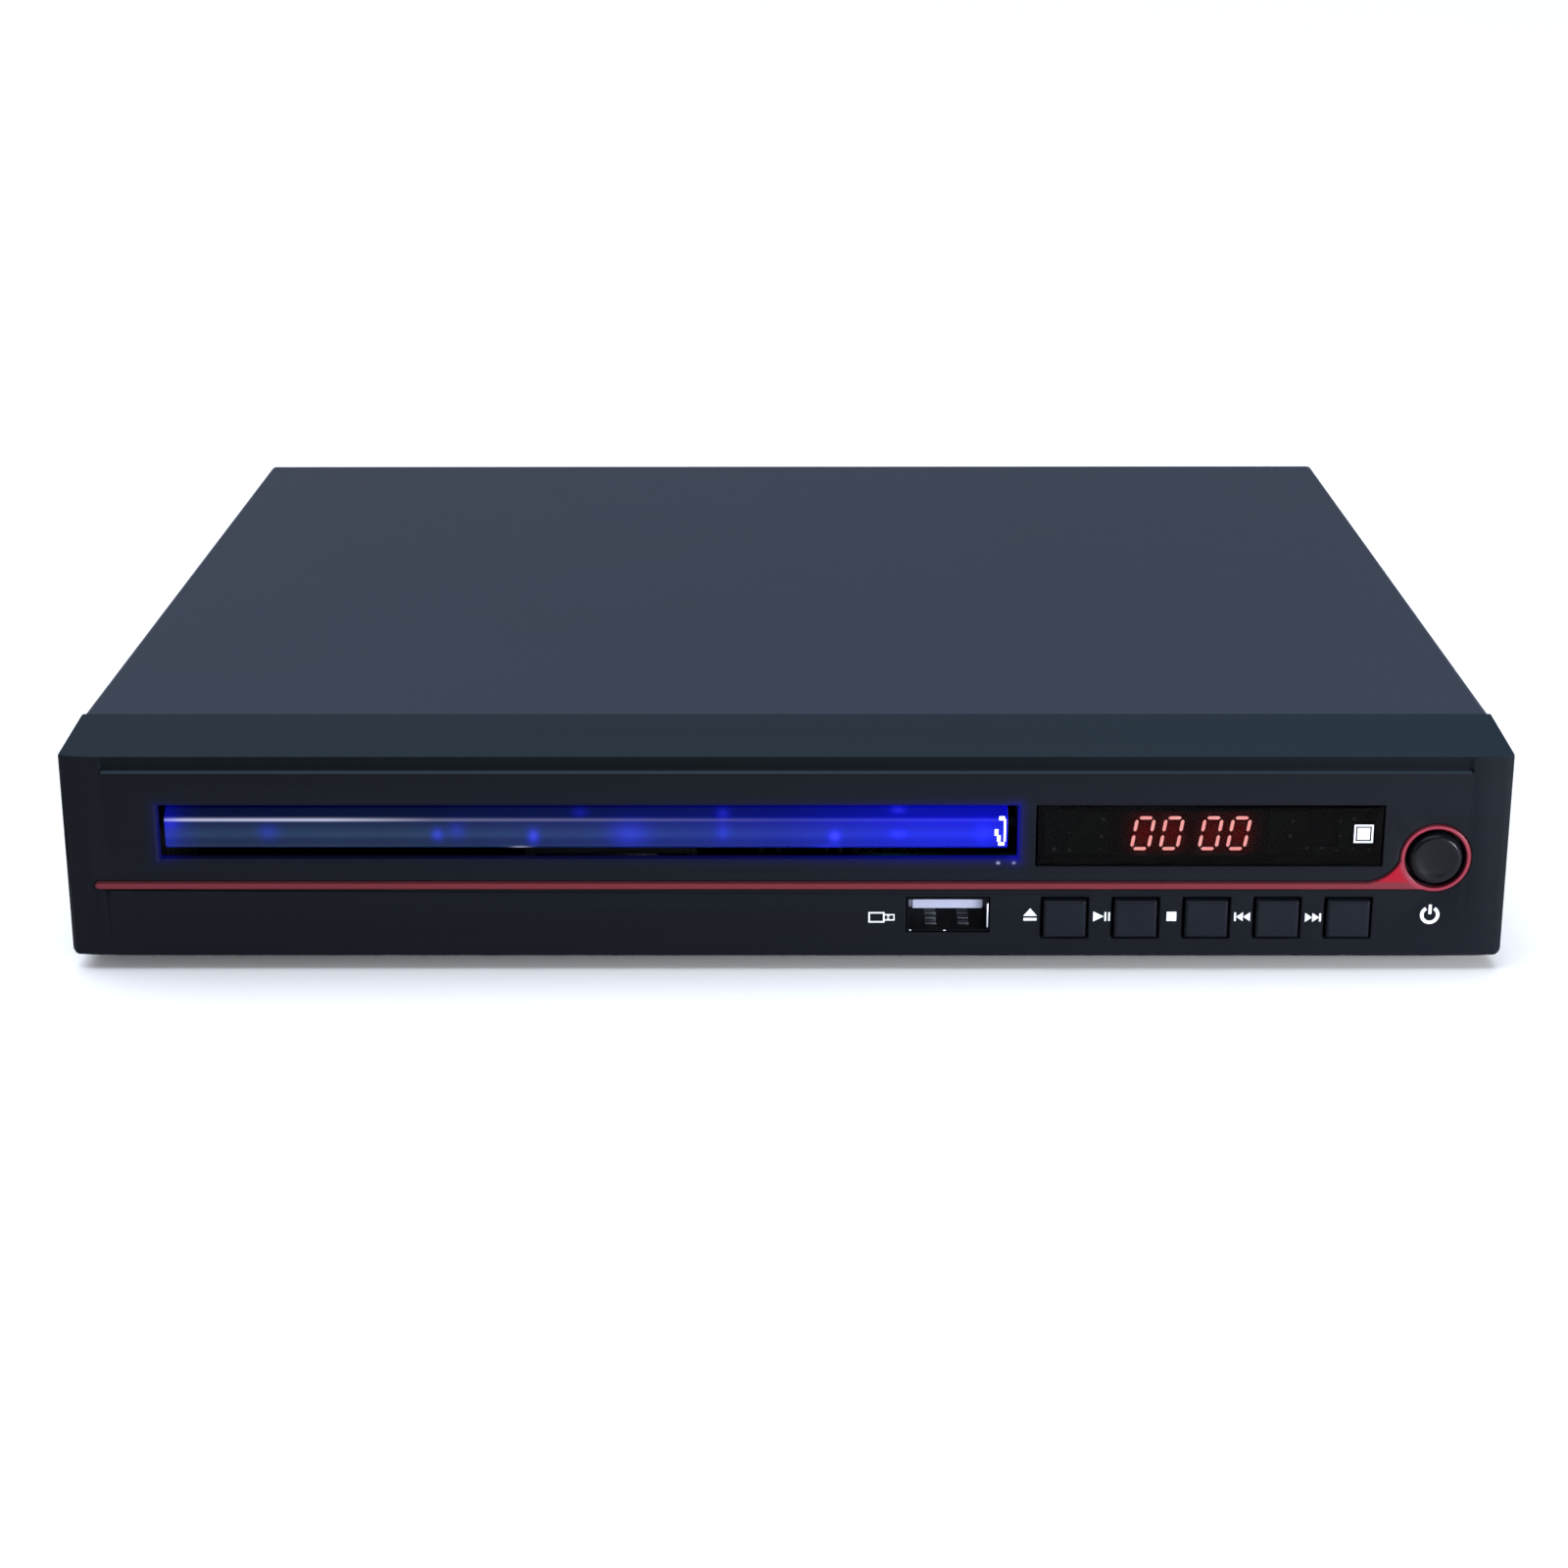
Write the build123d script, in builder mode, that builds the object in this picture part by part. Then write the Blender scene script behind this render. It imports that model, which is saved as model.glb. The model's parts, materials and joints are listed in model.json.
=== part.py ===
from build123d import *
import math
import os

# A compact disc player. X is to the right, the front panel looks to -Y, Z is up.
# The origin is under the middle of the whole object, on the surface it stands on.
# Lengths are millimetres and angles are degrees.

os.makedirs("parts", exist_ok=True)

# Driving dimensions: the case
case_width = 225.0
case_depth = 180.0
case_top = 40.5
panel_width = 230.0
panel_depth = 9.0
panel_bottom = 2.5
panel_edge = 36.05
foot_height = 3.5
sheet = 0.8
button_proud = 1.0
jack_proud = 8.5

# Driving dimensions: the panel's face, as spans along X and Z
slot_x = (-99.9, 37.0)
slot_z = (18.9, 27.9)
door_x = (-98.9, 35.4)
door_z = (20.4, 26.9)
window_x = (39.8, 95.0)
window_z = (17.8, 28.0)
stripe_z = (13.75, 15.25)
stripe_start = -109.8
ring_x = 103.4
ring_z = 19.2
ring_radius = 5.76
knob_radius = 4.45
key_names = ["eject", "play", "stop", "previous", "next"]
key_pitch = 11.33
first_key_x = 44.7
key_z = 9.0
key_width = 6.8
key_height = 6.2
usb_x = 26.0
usb_z = 9.5

# Driving dimensions: the drive
disc_radius = 60.0
disc_x = -31.5
disc_from_face = 72.0
tray_travel = 132.0
tilt = 4.0
hinge_behind_disc = 90.0
hinge_z = 14.5
pickup_travel = 34.0

# Places along Y that follow from the case
face = -(button_proud + panel_depth + case_depth + jack_proud) / 2 + button_proud
case_front = face + panel_depth
case_back = case_front + case_depth
disc_y = face + disc_from_face
side_x = case_width / 2 - sheet
floor_z = foot_height + sheet

# Running fit between a shaft and its hole
shaft_gap = 0.05

# Gear teeth: pressure angle, tip and root heights and backlash, in modules
pressure = math.radians(25)
tip_height = 0.8
root_depth = 1.05
backlash = 0.1


def facing(y):
    """A plane across the player: sketch x is X, sketch y is Z, and it extrudes to the front."""
    return Plane.XZ.offset(-y)


def block(x, y, z, mode=Mode.ADD):
    """A box between two ends along each axis."""
    with Locations(((x[0] + x[1]) / 2, (y[0] + y[1]) / 2, (z[0] + z[1]) / 2)):
        Box(x[1] - x[0], y[1] - y[0], z[1] - z[0], mode=mode)


def patch(x, y, mode=Mode.ADD):
    """A rectangle between two ends along each sketch axis."""
    with Locations(((x[0] + x[1]) / 2, (y[0] + y[1]) / 2)):
        Rectangle(x[1] - x[0], y[1] - y[0], mode=mode)


def posts(places, radius, z, mode=Mode.ADD):
    """Upright cylinders at a list of places, between two heights."""
    with Locations([(x, y, (z[0] + z[1]) / 2) for x, y in places]):
        Cylinder(radius, z[1] - z[0], mode=mode)


def screws(places, head_radius, shank_radius, z):
    """Pan-head screws: z holds the shank's end, the seat and the head's top."""
    posts(places, shank_radius, (z[0], z[1]))
    posts(places, head_radius, (z[1], z[2]))
    chamfer(edges().group_by(Axis.Z)[-1], length=head_radius * 0.2)
    with Locations([(x, y, z[2]) for x, y in places]):
        Box(head_radius * 1.3, head_radius * 0.25, head_radius * 0.5, mode=Mode.SUBTRACT)
        Box(head_radius * 0.25, head_radius * 1.3, head_radius * 0.5, mode=Mode.SUBTRACT)


def wheel_outline(teeth, module, turn=0.0):
    """An involute wheel about the sketch's local origin; turn is where one tooth's middle points."""
    pitch = teeth * module / 2
    base = pitch * math.cos(pressure)
    root = pitch - root_depth * module
    tip = pitch + tip_height * module
    start = max(base, root)
    radii = sorted({root, *(start + (tip - start) * step / 3 for step in range(4))})
    half_tooth = (math.pi / 2 - backlash) / teeth

    def involute(radius):
        angle = math.acos(min(1.0, base / radius))
        return math.tan(angle) - angle

    flank = [(radius, half_tooth + involute(pitch) - involute(radius)) for radius in radii]
    outline = []
    for tooth in range(teeth):
        middle = turn + 2 * math.pi * tooth / teeth
        rising = [(radius, middle - angle) for radius, angle in flank]
        falling = [(radius, middle + angle) for radius, angle in reversed(flank)]
        outline += [(r * math.cos(a), r * math.sin(a)) for r, a in rising + falling]
    with BuildLine() as teeth_line:
        Polyline(*outline, close=True)
    make_face(teeth_line.edges())


def rack_outline(pitch_line, back, middle, teeth, module):
    """A rack along the sketch's y; it faces away from its back, with a gap at y = middle."""
    side = math.copysign(1, pitch_line - back)
    tip = pitch_line + side * tip_height * module
    root = pitch_line - side * root_depth * module
    at_pitch = (math.pi / 2 - backlash) * module / 2
    at_tip = at_pitch - tip_height * module * math.tan(pressure)
    at_root = at_pitch + root_depth * module * math.tan(pressure)
    step = math.pi * module
    outline = [(back, middle + step * teeth[0]), (root, middle + step * teeth[0])]
    for tooth in range(*teeth):
        centre = middle + step * (tooth + 0.5)
        outline += [(root, centre - at_root), (tip, centre - at_tip)]
        outline += [(tip, centre + at_tip), (root, centre + at_root)]
    outline += [(root, middle + step * teeth[1]), (back, middle + step * teeth[1])]
    with BuildLine() as teeth_line:
        Polyline(*outline, close=True)
    make_face(teeth_line.edges())


# ---------------------------------------------------------------- front panel
# One moulded shell: a flat face, a band that slopes back to the cover, and ends
# that curve away at the sides and lean inwards beside the band.

panel_wall = 2.2
panel_lean = 2.5
cheek_start = 108.5
cheek_bend = (113.8, face + 0.35)
cheek_end = (panel_width / 2, face + 1.0)
lip_z = 34.0
lip_depth = 0.7
trim_inset = 0.6
trim_proud = 0.3
window_thickness = 1.4
window_ledge = 1.5
key_gap = 0.35
knob_hole = 4.75
usb_hole = (13.4, 6.0)
key_x = [first_key_x + key_pitch * i for i in range(len(key_names))]
board_front = face + 7.4
panel_bosses = [(15.2, 9.5), (108.0, 8.5), (47.0, 29.6), (100.0, 29.6)]
tail_start = (92.8, stripe_z[1])
tail_bend = (96.9, 17.6)
tail_end = (98.4, 21.8)


def trim_outline():
    """The stripe, its tail that sweeps up, and the ring round the power button."""
    patch((stripe_start, ring_x), stripe_z)
    with Locations((stripe_start, sum(stripe_z) / 2)):
        Circle((stripe_z[1] - stripe_z[0]) / 2)
    with Locations((ring_x, ring_z)):
        Circle(ring_radius)
    with BuildLine() as tail:
        ThreePointArc(tail_start, tail_bend, tail_end)
        Polyline(tail_end, (ring_x, ring_z), (ring_x, stripe_z[1]), tail_start)
    make_face(tail.edges())
    with Locations((ring_x, ring_z)):
        Circle(knob_hole, mode=Mode.SUBTRACT)


def on_face(x, z):
    """A test for edges that lie on the panel's face within a span of X and Z."""
    def test(edge):
        at = edge.center()
        inside = x[0] - 0.1 < at.X < x[1] + 0.1 and z[0] - 0.1 < at.Z < z[1] + 0.1
        return inside and abs(at.Y - face) < 0.01
    return test


with BuildPart() as front_panel:
    with BuildSketch(facing(case_front)):
        half = panel_width / 2
        top = [(half - panel_lean, case_top), (half, panel_edge), (half, panel_bottom)]
        with BuildLine():
            Polyline(*top, *[(-x, z) for x, z in reversed(top)], close=True)
        make_face()
    extrude(amount=panel_depth)
    fillet(edges().filter_by(Axis.Y).group_by(Axis.Z)[0], radius=1.2)
    with BuildSketch(Plane.YZ):
        with BuildLine():
            Polyline((face, panel_edge), (case_front, case_top), (face, case_top), close=True)
        make_face()
    extrude(amount=panel_width, both=True, mode=Mode.SUBTRACT)
    with BuildSketch():
        with BuildLine():
            cheek = TangentArc((cheek_start, face), cheek_bend, tangent=(1, 0))
            corner = TangentArc(cheek @ 1, cheek_end, tangent=cheek % 1)
            Polyline(cheek_end, (cheek_end[0] + 1, face), (cheek_start, face - 1), (cheek_start, face))
        make_face()
        mirror(about=Plane.YZ)
    extrude(amount=case_top, mode=Mode.SUBTRACT)
    with BuildSketch(Plane.YZ):
        with BuildLine():
            Polyline(
                (face - 0.1, lip_z),
                (face + lip_depth, lip_z),
                (face - 0.1, lip_z - lip_depth - 0.1),
                close=True,
            )
        make_face()
    extrude(amount=cheek_start, both=True, mode=Mode.SUBTRACT)
    with BuildSketch(Plane.YZ):
        inner = face + panel_wall
        slope = (case_top - panel_edge) / panel_depth
        with BuildLine():
            Polyline(
                (inner, panel_bottom + 2),
                (inner, panel_edge + slope * panel_wall - panel_wall),
                (case_front, case_top - panel_wall),
                (case_front, panel_bottom + 2),
                close=True,
            )
        make_face()
    extrude(amount=panel_width / 2 - 3.2, both=True, mode=Mode.SUBTRACT)
    with Locations([(x, (inner + board_front) / 2, z) for x, z in panel_bosses]):
        Cylinder(2.2, board_front - inner, rotation=(90, 0, 0))
    with BuildSketch(facing(face + panel_wall + 0.1)):
        patch(slot_x, slot_z)
        patch(
            (window_x[0] + window_ledge, window_x[1] - window_ledge),
            (window_z[0] + window_ledge, window_z[1] - window_ledge),
        )
        with Locations((usb_x, usb_z)):
            Rectangle(*usb_hole)
        with Locations([(x, key_z) for x in key_x]):
            Rectangle(key_width + 2 * key_gap, key_height + 2 * key_gap)
        with Locations((ring_x, ring_z)):
            Circle(knob_hole)
    extrude(amount=panel_wall + 1, mode=Mode.SUBTRACT)
    with BuildSketch(facing(face + window_thickness)):
        patch(window_x, window_z)
    extrude(amount=panel_wall, mode=Mode.SUBTRACT)
    with BuildSketch(facing(face + trim_inset)):
        trim_outline()
    extrude(amount=panel_wall, mode=Mode.SUBTRACT)
    with Locations([(x, board_front - 2.4, z) for x, z in panel_bosses]):
        Cylinder(0.95, 5, rotation=(90, 0, 0), mode=Mode.SUBTRACT)
    chamfer(edges().filter_by(on_face(slot_x, slot_z)), length=0.4)
    for x in key_x:
        span = (x - key_width, x + key_width)
        chamfer(edges().filter_by(on_face(span, (key_z - key_height, key_z + key_height))), length=0.2)
front_panel.part.label = "front_panel"
export_step(front_panel.part, "parts/front_panel.step")

with BuildPart() as display_window:
    with BuildSketch(facing(face + window_thickness)):
        patch((window_x[0] + 0.1, window_x[1] - 0.1), (window_z[0] + 0.1, window_z[1] - 0.1))
    extrude(amount=window_thickness)
    chamfer(faces().sort_by(Axis.Y)[0].edges(), length=0.25)
display_window.part.label = "display_window"
export_step(display_window.part, "parts/display_window.step")

with BuildPart() as red_trim:
    with BuildSketch(facing(face + trim_inset)):
        trim_outline()
    extrude(amount=trim_inset + trim_proud)
red_trim.part.label = "red_trim"
export_step(red_trim.part, "parts/red_trim.step")


# ---------------------------------------------------------------- keys and power button
# Each has a head in the panel's face, a flange behind the wall that keeps it in,
# and a stem that reaches for its switch on the front board.

key_proud = 0.8
flange_y = (face + panel_wall + 0.4, face + panel_wall + 1.2)
stem_end = face + 4.7
switch_y = (face + 5.9, board_front)
switch_tip = face + 5.5

for name, x in zip(key_names, key_x):
    with BuildPart() as key:
        with BuildSketch(facing(flange_y[0])):
            with Locations((x, key_z)):
                Rectangle(key_width, key_height)
        extrude(amount=flange_y[0] - face + key_proud)
        chamfer(faces().sort_by(Axis.Y)[0].edges(), length=0.35)
        block((x - 4.4, x + 4.4), flange_y, (key_z - 3.7, key_z + 4.0))
        with Locations((x, (flange_y[1] + stem_end) / 2, key_z)):
            Cylinder(1.2, stem_end - flange_y[1], rotation=(90, 0, 0))
    key.part.label = name + "_key"
    export_step(key.part, "parts/" + name + "_key.step")

with BuildPart() as power_button:
    with BuildSketch(Plane.XY.offset(ring_z)):
        with BuildLine():
            cap = ThreePointArc(
                (ring_x, face - button_proud),
                (ring_x + 2.4, face - button_proud + 0.14),
                (ring_x + knob_radius, face - 0.45),
            )
            Polyline(
                cap @ 1,
                (ring_x + knob_radius, flange_y[0]),
                (ring_x + 5.4, flange_y[0]),
                (ring_x + 5.4, flange_y[1]),
                (ring_x + 1.5, flange_y[1]),
                (ring_x + 1.5, stem_end),
                (ring_x, stem_end),
                (ring_x, face - button_proud),
            )
        make_face()
    revolve(axis=Axis((ring_x, 0, ring_z), (0, 1, 0)))
power_button.part.label = "power_button"
export_step(power_button.part, "parts/power_button.step")


# ---------------------------------------------------------------- front board and what it carries

board_depth = 1.2
board_back = board_front + board_depth
usb_shell_size = (13.1, 5.7)
usb_inner = (12.5, 5.1)
usb_y = (face + 0.2, face + 13.0)

with BuildPart() as front_board:
    with BuildSketch(facing(board_back)):
        patch((12.0, 111.0), (5.5, 17.0))
        patch((37.5, 111.0), (5.5, 32.0))
        with Locations((usb_x, usb_z)):
            Rectangle(usb_shell_size[0] + 0.6, usb_shell_size[1] + 0.6, mode=Mode.SUBTRACT)
        with Locations(panel_bosses):
            Circle(1.2, mode=Mode.SUBTRACT)
    extrude(amount=board_depth)
front_board.part.label = "front_board"
export_step(front_board.part, "parts/front_board.step")

switch_places = [(x, key_z) for x in key_x] + [(ring_x, ring_z)]
with BuildPart() as tact_switches:
    with BuildSketch(facing(switch_y[1])):
        with Locations(switch_places):
            Rectangle(6, 6)
    extrude(amount=switch_y[1] - switch_y[0])
    with BuildSketch(facing(switch_y[0])):
        with Locations(switch_places):
            Circle(1.6)
    extrude(amount=switch_y[0] - switch_tip)
tact_switches.part.label = "tact_switches"
export_step(tact_switches.part, "parts/tact_switches.step")

with BuildPart() as led_display:
    block((52.2, 77.2), (face + 3.0, board_front), (18.6, 26.6))
led_display.part.label = "led_display"
export_step(led_display.part, "parts/led_display.step")

with BuildPart() as ir_receiver:
    block((84.0, 88.6), (face + 4.4, board_front), (19.6, 24.8))
    with Locations((86.3, face + 4.4, 22.4)):
        Sphere(1.4)
ir_receiver.part.label = "ir_receiver"
export_step(ir_receiver.part, "parts/ir_receiver.step")

with BuildPart() as door_led:
    block((37.7, 40.0), (face + 2.5, board_front), (21.6, 25.8))
door_led.part.label = "door_led"
export_step(door_led.part, "parts/door_led.step")

with BuildPart() as usb_shell:
    with BuildSketch(facing(usb_y[1])):
        with Locations((usb_x, usb_z)):
            Rectangle(*usb_shell_size)
    extrude(amount=usb_y[1] - usb_y[0])
    with BuildSketch(facing(usb_y[1] - 0.3)):
        with Locations((usb_x, usb_z)):
            Rectangle(*usb_inner)
    extrude(amount=usb_y[1] - usb_y[0], mode=Mode.SUBTRACT)
usb_shell.part.label = "usb_shell"
export_step(usb_shell.part, "parts/usb_shell.step")

with BuildPart() as usb_tongue:
    with BuildSketch(facing(usb_y[1] - 0.3)):
        with Locations((usb_x, usb_z)):
            Rectangle(*usb_inner)
    extrude(amount=2.4)
    with BuildSketch(facing(usb_y[1] - 2.7)):
        patch((usb_x - 5.6, usb_x + 5.6), (usb_z + 0.5, usb_z + 2.3))
    extrude(amount=8.6)
usb_tongue.part.label = "usb_tongue"
export_step(usb_tongue.part, "parts/usb_tongue.step")


# ---------------------------------------------------------------- case
# A steel pan stands on four feet, a steel plate closes the back, and a folded
# cover slides over both from behind the front panel.

board_z = (8.3, 9.9)
loader_z = 5.6
loader_corners = [(-97.5, face + 20), (33.0, face + 20), (-97.5, face + 168), (33.0, face + 168)]
main_x = (42.5, 87.0)
main_y = (face + 60, case_back - 2.4)
power_x = (89.0, 109.5)
power_y = (face + 24, case_back - 2.4)
main_corners = [
    (x, y) for x in (main_x[0] + 4, main_x[1] - 4) for y in (main_y[0] + 4, main_y[1] - 24)
]
power_corners = [
    (x, y) for x in (power_x[0] + 3.4, power_x[1] - 3.4) for y in (power_y[0] + 4, power_y[1] - 32)
]
flange_top = 16.0
side_screws_y = [case_front + 30, case_back - 30]
side_screw_z = 12.4
back_fold_z = 34.2
back_screws = [(x, 37.1) for x in (-92.0, -8.0, 92.0)]
foot_places = [(x, y) for x in (-88.0, 88.0) for y in (face + 34, case_back - 22)]

with BuildPart() as bottom_chassis:
    block((-side_x, side_x), (case_front + 0.6, case_back - sheet), (foot_height, floor_z))
    for side in (-1, 1):
        edge = sorted((side * (side_x - 0.2), side * (side_x - 0.2 - sheet)))
        block(edge, (case_front + 0.6, case_back - 2.6), (floor_z, flange_top))
    block((-side_x + 4, side_x - 4), (case_front + 0.6, case_front + 0.6 + sheet), (floor_z, 6.0))
    posts(loader_corners, 3.4, (floor_z, loader_z))
    posts(main_corners + power_corners, 2.8, (floor_z, board_z[0]))
    posts(loader_corners, 1.5, (foot_height, loader_z), mode=Mode.SUBTRACT)
    posts(main_corners + power_corners, 1.3, (foot_height, board_z[0]), mode=Mode.SUBTRACT)
    with BuildSketch(Plane.XY.offset(foot_height)):
        with Locations((66.0, case_back - 62), (-31.5, face + 112)):
            with GridLocations(7, 26, 6, 2):
                SlotOverall(20, 2.4, rotation=90)
    extrude(amount=sheet, mode=Mode.SUBTRACT)
    with Locations([(x, y, side_screw_z) for x in (-side_x, side_x) for y in side_screws_y]):
        Cylinder(1.5, 5, rotation=(0, 90, 0), mode=Mode.SUBTRACT)
bottom_chassis.part.label = "bottom_chassis"
export_step(bottom_chassis.part, "parts/bottom_chassis.step")

with BuildPart() as top_cover:
    with BuildSketch(facing(case_back)):
        patch((-case_width / 2, case_width / 2), (floor_z, case_top))
    extrude(amount=case_depth)
    fillet(edges().filter_by(Axis.Y).group_by(Axis.Z)[-1], radius=1.2)
    block((-side_x, side_x), (case_front - 1, case_back - sheet), (0, case_top - sheet), mode=Mode.SUBTRACT)
    block((-side_x, side_x), (case_back - sheet, case_back), (0, back_fold_z), mode=Mode.SUBTRACT)
    with Locations([(x, y, side_screw_z) for x in (-side_x, side_x) for y in side_screws_y]):
        Cylinder(1.6, 5, rotation=(0, 90, 0), mode=Mode.SUBTRACT)
    with Locations([(x, case_back, z) for x, z in back_screws]):
        Cylinder(1.6, 5, rotation=(90, 0, 0), mode=Mode.SUBTRACT)
top_cover.part.label = "top_cover"
export_step(top_cover.part, "parts/top_cover.step")

inlet_x = 99.2
inlet_z = 17.9
jack_x = [50.0, 63.4]
jack_z = [15.4, 28.2]
jack_places = [(x, z) for x in jack_x for z in jack_z]
jack_radius = 4.15
jack_wall = 0.6
hdmi_x = 78.6
hdmi_z = 12.9
back_y = (case_back - 2 * sheet, case_back - sheet)

with BuildPart() as rear_panel:
    with BuildSketch(facing(back_y[1])):
        patch((-side_x + 0.3, side_x - 0.3), (floor_z, case_top - 2 * sheet))
        with Locations((inlet_x, inlet_z)):
            Rectangle(18.2, 11.2, mode=Mode.SUBTRACT)
        with Locations(jack_places):
            Circle(jack_radius + 0.35, mode=Mode.SUBTRACT)
        with Locations((hdmi_x, hdmi_z)):
            Rectangle(15.8, 6.6, mode=Mode.SUBTRACT)
        with Locations(back_screws):
            Circle(1.5, mode=Mode.SUBTRACT)
        with Locations((-38.0, 20.0)):
            with GridLocations(6, 1, 18, 1):
                SlotOverall(14, 2.4, rotation=90, mode=Mode.SUBTRACT)
    extrude(amount=sheet)
    block((-side_x + 12, side_x - 12), (case_back - 6, back_y[0]), (floor_z, floor_z + sheet))
rear_panel.part.label = "rear_panel"
export_step(rear_panel.part, "parts/rear_panel.step")

with BuildPart() as feet:
    posts(foot_places, 7.5, (0, foot_height))
    chamfer(edges().group_by(Axis.Z)[0], length=0.8)
feet.part.label = "feet"
export_step(feet.part, "parts/feet.step")

with BuildPart() as cover_screws:
    for side in (-1, 1):
        for y in side_screws_y:
            with Locations((side * (case_width / 2 + 0.7), y, side_screw_z)):
                Cylinder(3.0, 1.4, rotation=(0, 90, 0))
            with Locations((side * (case_width / 2 - 1.5), y, side_screw_z)):
                Cylinder(1.4, 3.0, rotation=(0, 90, 0))
            with Locations((side * (case_width / 2 + 1.4), y, side_screw_z)):
                Box(1.6, 3.9, 0.8, mode=Mode.SUBTRACT)
                Box(1.6, 0.8, 3.9, mode=Mode.SUBTRACT)
    for x, z in back_screws:
        with Locations((x, case_back + 0.7, z)):
            Cylinder(2.7, 1.4, rotation=(90, 0, 0))
        with Locations((x, case_back - 2.5, z)):
            Cylinder(1.4, 5.0, rotation=(90, 0, 0))
        with Locations((x, case_back + 1.4, z)):
            Box(3.9, 1.6, 0.8, mode=Mode.SUBTRACT)
            Box(0.8, 1.6, 3.9, mode=Mode.SUBTRACT)
cover_screws.part.label = "cover_screws"
export_step(cover_screws.part, "parts/cover_screws.step")

with BuildPart() as loader_screws:
    screws(loader_corners, 2.9, 1.4, (foot_height + 0.4, loader_z + 1.6, loader_z + 3.4))
loader_screws.part.label = "loader_screws"
export_step(loader_screws.part, "parts/loader_screws.step")

with BuildPart() as board_screws:
    screws(main_corners + power_corners, 2.5, 1.2, (floor_z, board_z[1], board_z[1] + 1.5))
    with Locations([(x, board_back + 0.7, z) for x, z in panel_bosses]):
        Cylinder(2.0, 1.4, rotation=(90, 0, 0))
    with Locations([(x, board_back - 2.2, z) for x, z in panel_bosses]):
        Cylinder(0.9, 4.4, rotation=(90, 0, 0))
board_screws.part.label = "board_screws"
export_step(board_screws.part, "parts/board_screws.step")


# ---------------------------------------------------------------- tray and door
# The tray rides on ribs of the loader frame. A rack under its right side meets
# the drive gear, and a slot lets the turntable and the lens through.

tray_x = (-97.0, 34.0)
tray_y = (face + 5.0, face + 166.0)
tray_z = (21.6, 26.4)
disc_floor = 24.2
small_disc_floor = 23.0
small_disc_radius = 41.0
slot_half = 19.0
tray_slot_back = disc_y + 66.0
drive_module = 1.0
drive_teeth = 14
drive_at = (15.0, face + 29.0)
rack_line = drive_at[0] + drive_teeth * drive_module / 2
rack_back = rack_line + 5.0
rack_z = (19.6, tray_z[0])
rack_span = (-1, math.ceil(tray_travel / (math.pi * drive_module)))

with BuildPart() as disc_tray:
    block(tray_x, tray_y, tray_z)
    fillet(edges().filter_by(Axis.Z).group_by(Axis.Y)[-1], radius=6)
    with BuildSketch(Plane.XY.offset(tray_z[0])):
        patch((tray_x[0] + 1.6, tray_x[1] - 1.6), (tray_y[0] + 1.6, tray_y[1] - 1.6))
        with Locations((disc_x, disc_y)):
            Circle(disc_radius + 2.2, mode=Mode.SUBTRACT)
        patch((rack_line - 2, rack_back + 2), tray_y, mode=Mode.SUBTRACT)
        patch(
            (disc_x - slot_half - 2, disc_x + slot_half + 2),
            (disc_y, tray_slot_back + 2),
            mode=Mode.SUBTRACT,
        )
    extrude(amount=tray_z[1] - tray_z[0] - 1.6, mode=Mode.SUBTRACT)
    with BuildSketch(Plane.XY.offset(tray_z[1])):
        with Locations((disc_x, disc_y)):
            Circle(disc_radius + 0.6)
    extrude(amount=disc_floor - tray_z[1], mode=Mode.SUBTRACT)
    with BuildSketch(Plane.XY.offset(disc_floor)):
        with Locations((disc_x, disc_y)):
            Circle(small_disc_radius)
    extrude(amount=small_disc_floor - disc_floor, mode=Mode.SUBTRACT)
    with BuildSketch(Plane.XY.offset(tray_z[0])):
        with Locations((disc_x, disc_y)):
            Circle(slot_half)
        patch((disc_x - slot_half, disc_x + slot_half), (disc_y, tray_slot_back))
    extrude(amount=tray_z[1] - tray_z[0], mode=Mode.SUBTRACT)
    with BuildSketch(Plane.XY.offset(rack_z[0])):
        rack_outline(rack_line, rack_back, drive_at[1], rack_span, drive_module)
    extrude(amount=rack_z[1] - rack_z[0])
disc_tray.part.label = "disc_tray"
export_step(disc_tray.part, "parts/disc_tray.step")

with BuildPart() as tray_door:
    block(door_x, (face + 1.0, tray_y[0]), door_z)
    chamfer(faces().sort_by(Axis.Y)[0].edges(), length=0.8)
    fillet(faces().sort_by(Axis.Y)[0].edges(), radius=0.3)
tray_door.part.label = "tray_door"
export_step(tray_door.part, "parts/tray_door.step")


# ---------------------------------------------------------------- tray drive train
# Motor, belt, pulley gear and drive gear, from the middle of the drive to its right.

fine_module = 0.8
wheel_teeth = 36
pinion_teeth = 10
train_distance = fine_module * (wheel_teeth + pinion_teeth) / 2
train_angle = math.radians(194.8)
pulley_at = (
    drive_at[0] + train_distance * math.cos(train_angle),
    drive_at[1] + train_distance * math.sin(train_angle),
)
motor_at = (-29.0, face + 27.0)
drive_post = 1.5
pulley_post = 1.2
motor_shaft = 1.0
wheel_z = (12.8, 15.4)
drive_pinion_z = (15.4, 21.2)
pulley_pinion_z = (12.6, 16.1)
pulley_z = (16.1, 18.9)
groove_z = (16.6, 18.4)
belt_z = (16.9, 18.1)
pulley_groove = 7.2
pulley_rim = 8.5
motor_rim = 3.4
motor_groove = 2.2
belt_gap = 0.15
belt_size = 1.2
motor_z = (5.0, 14.6)
motor_radius = 12.0
motor_plate_z = (14.6, 15.6)

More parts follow.
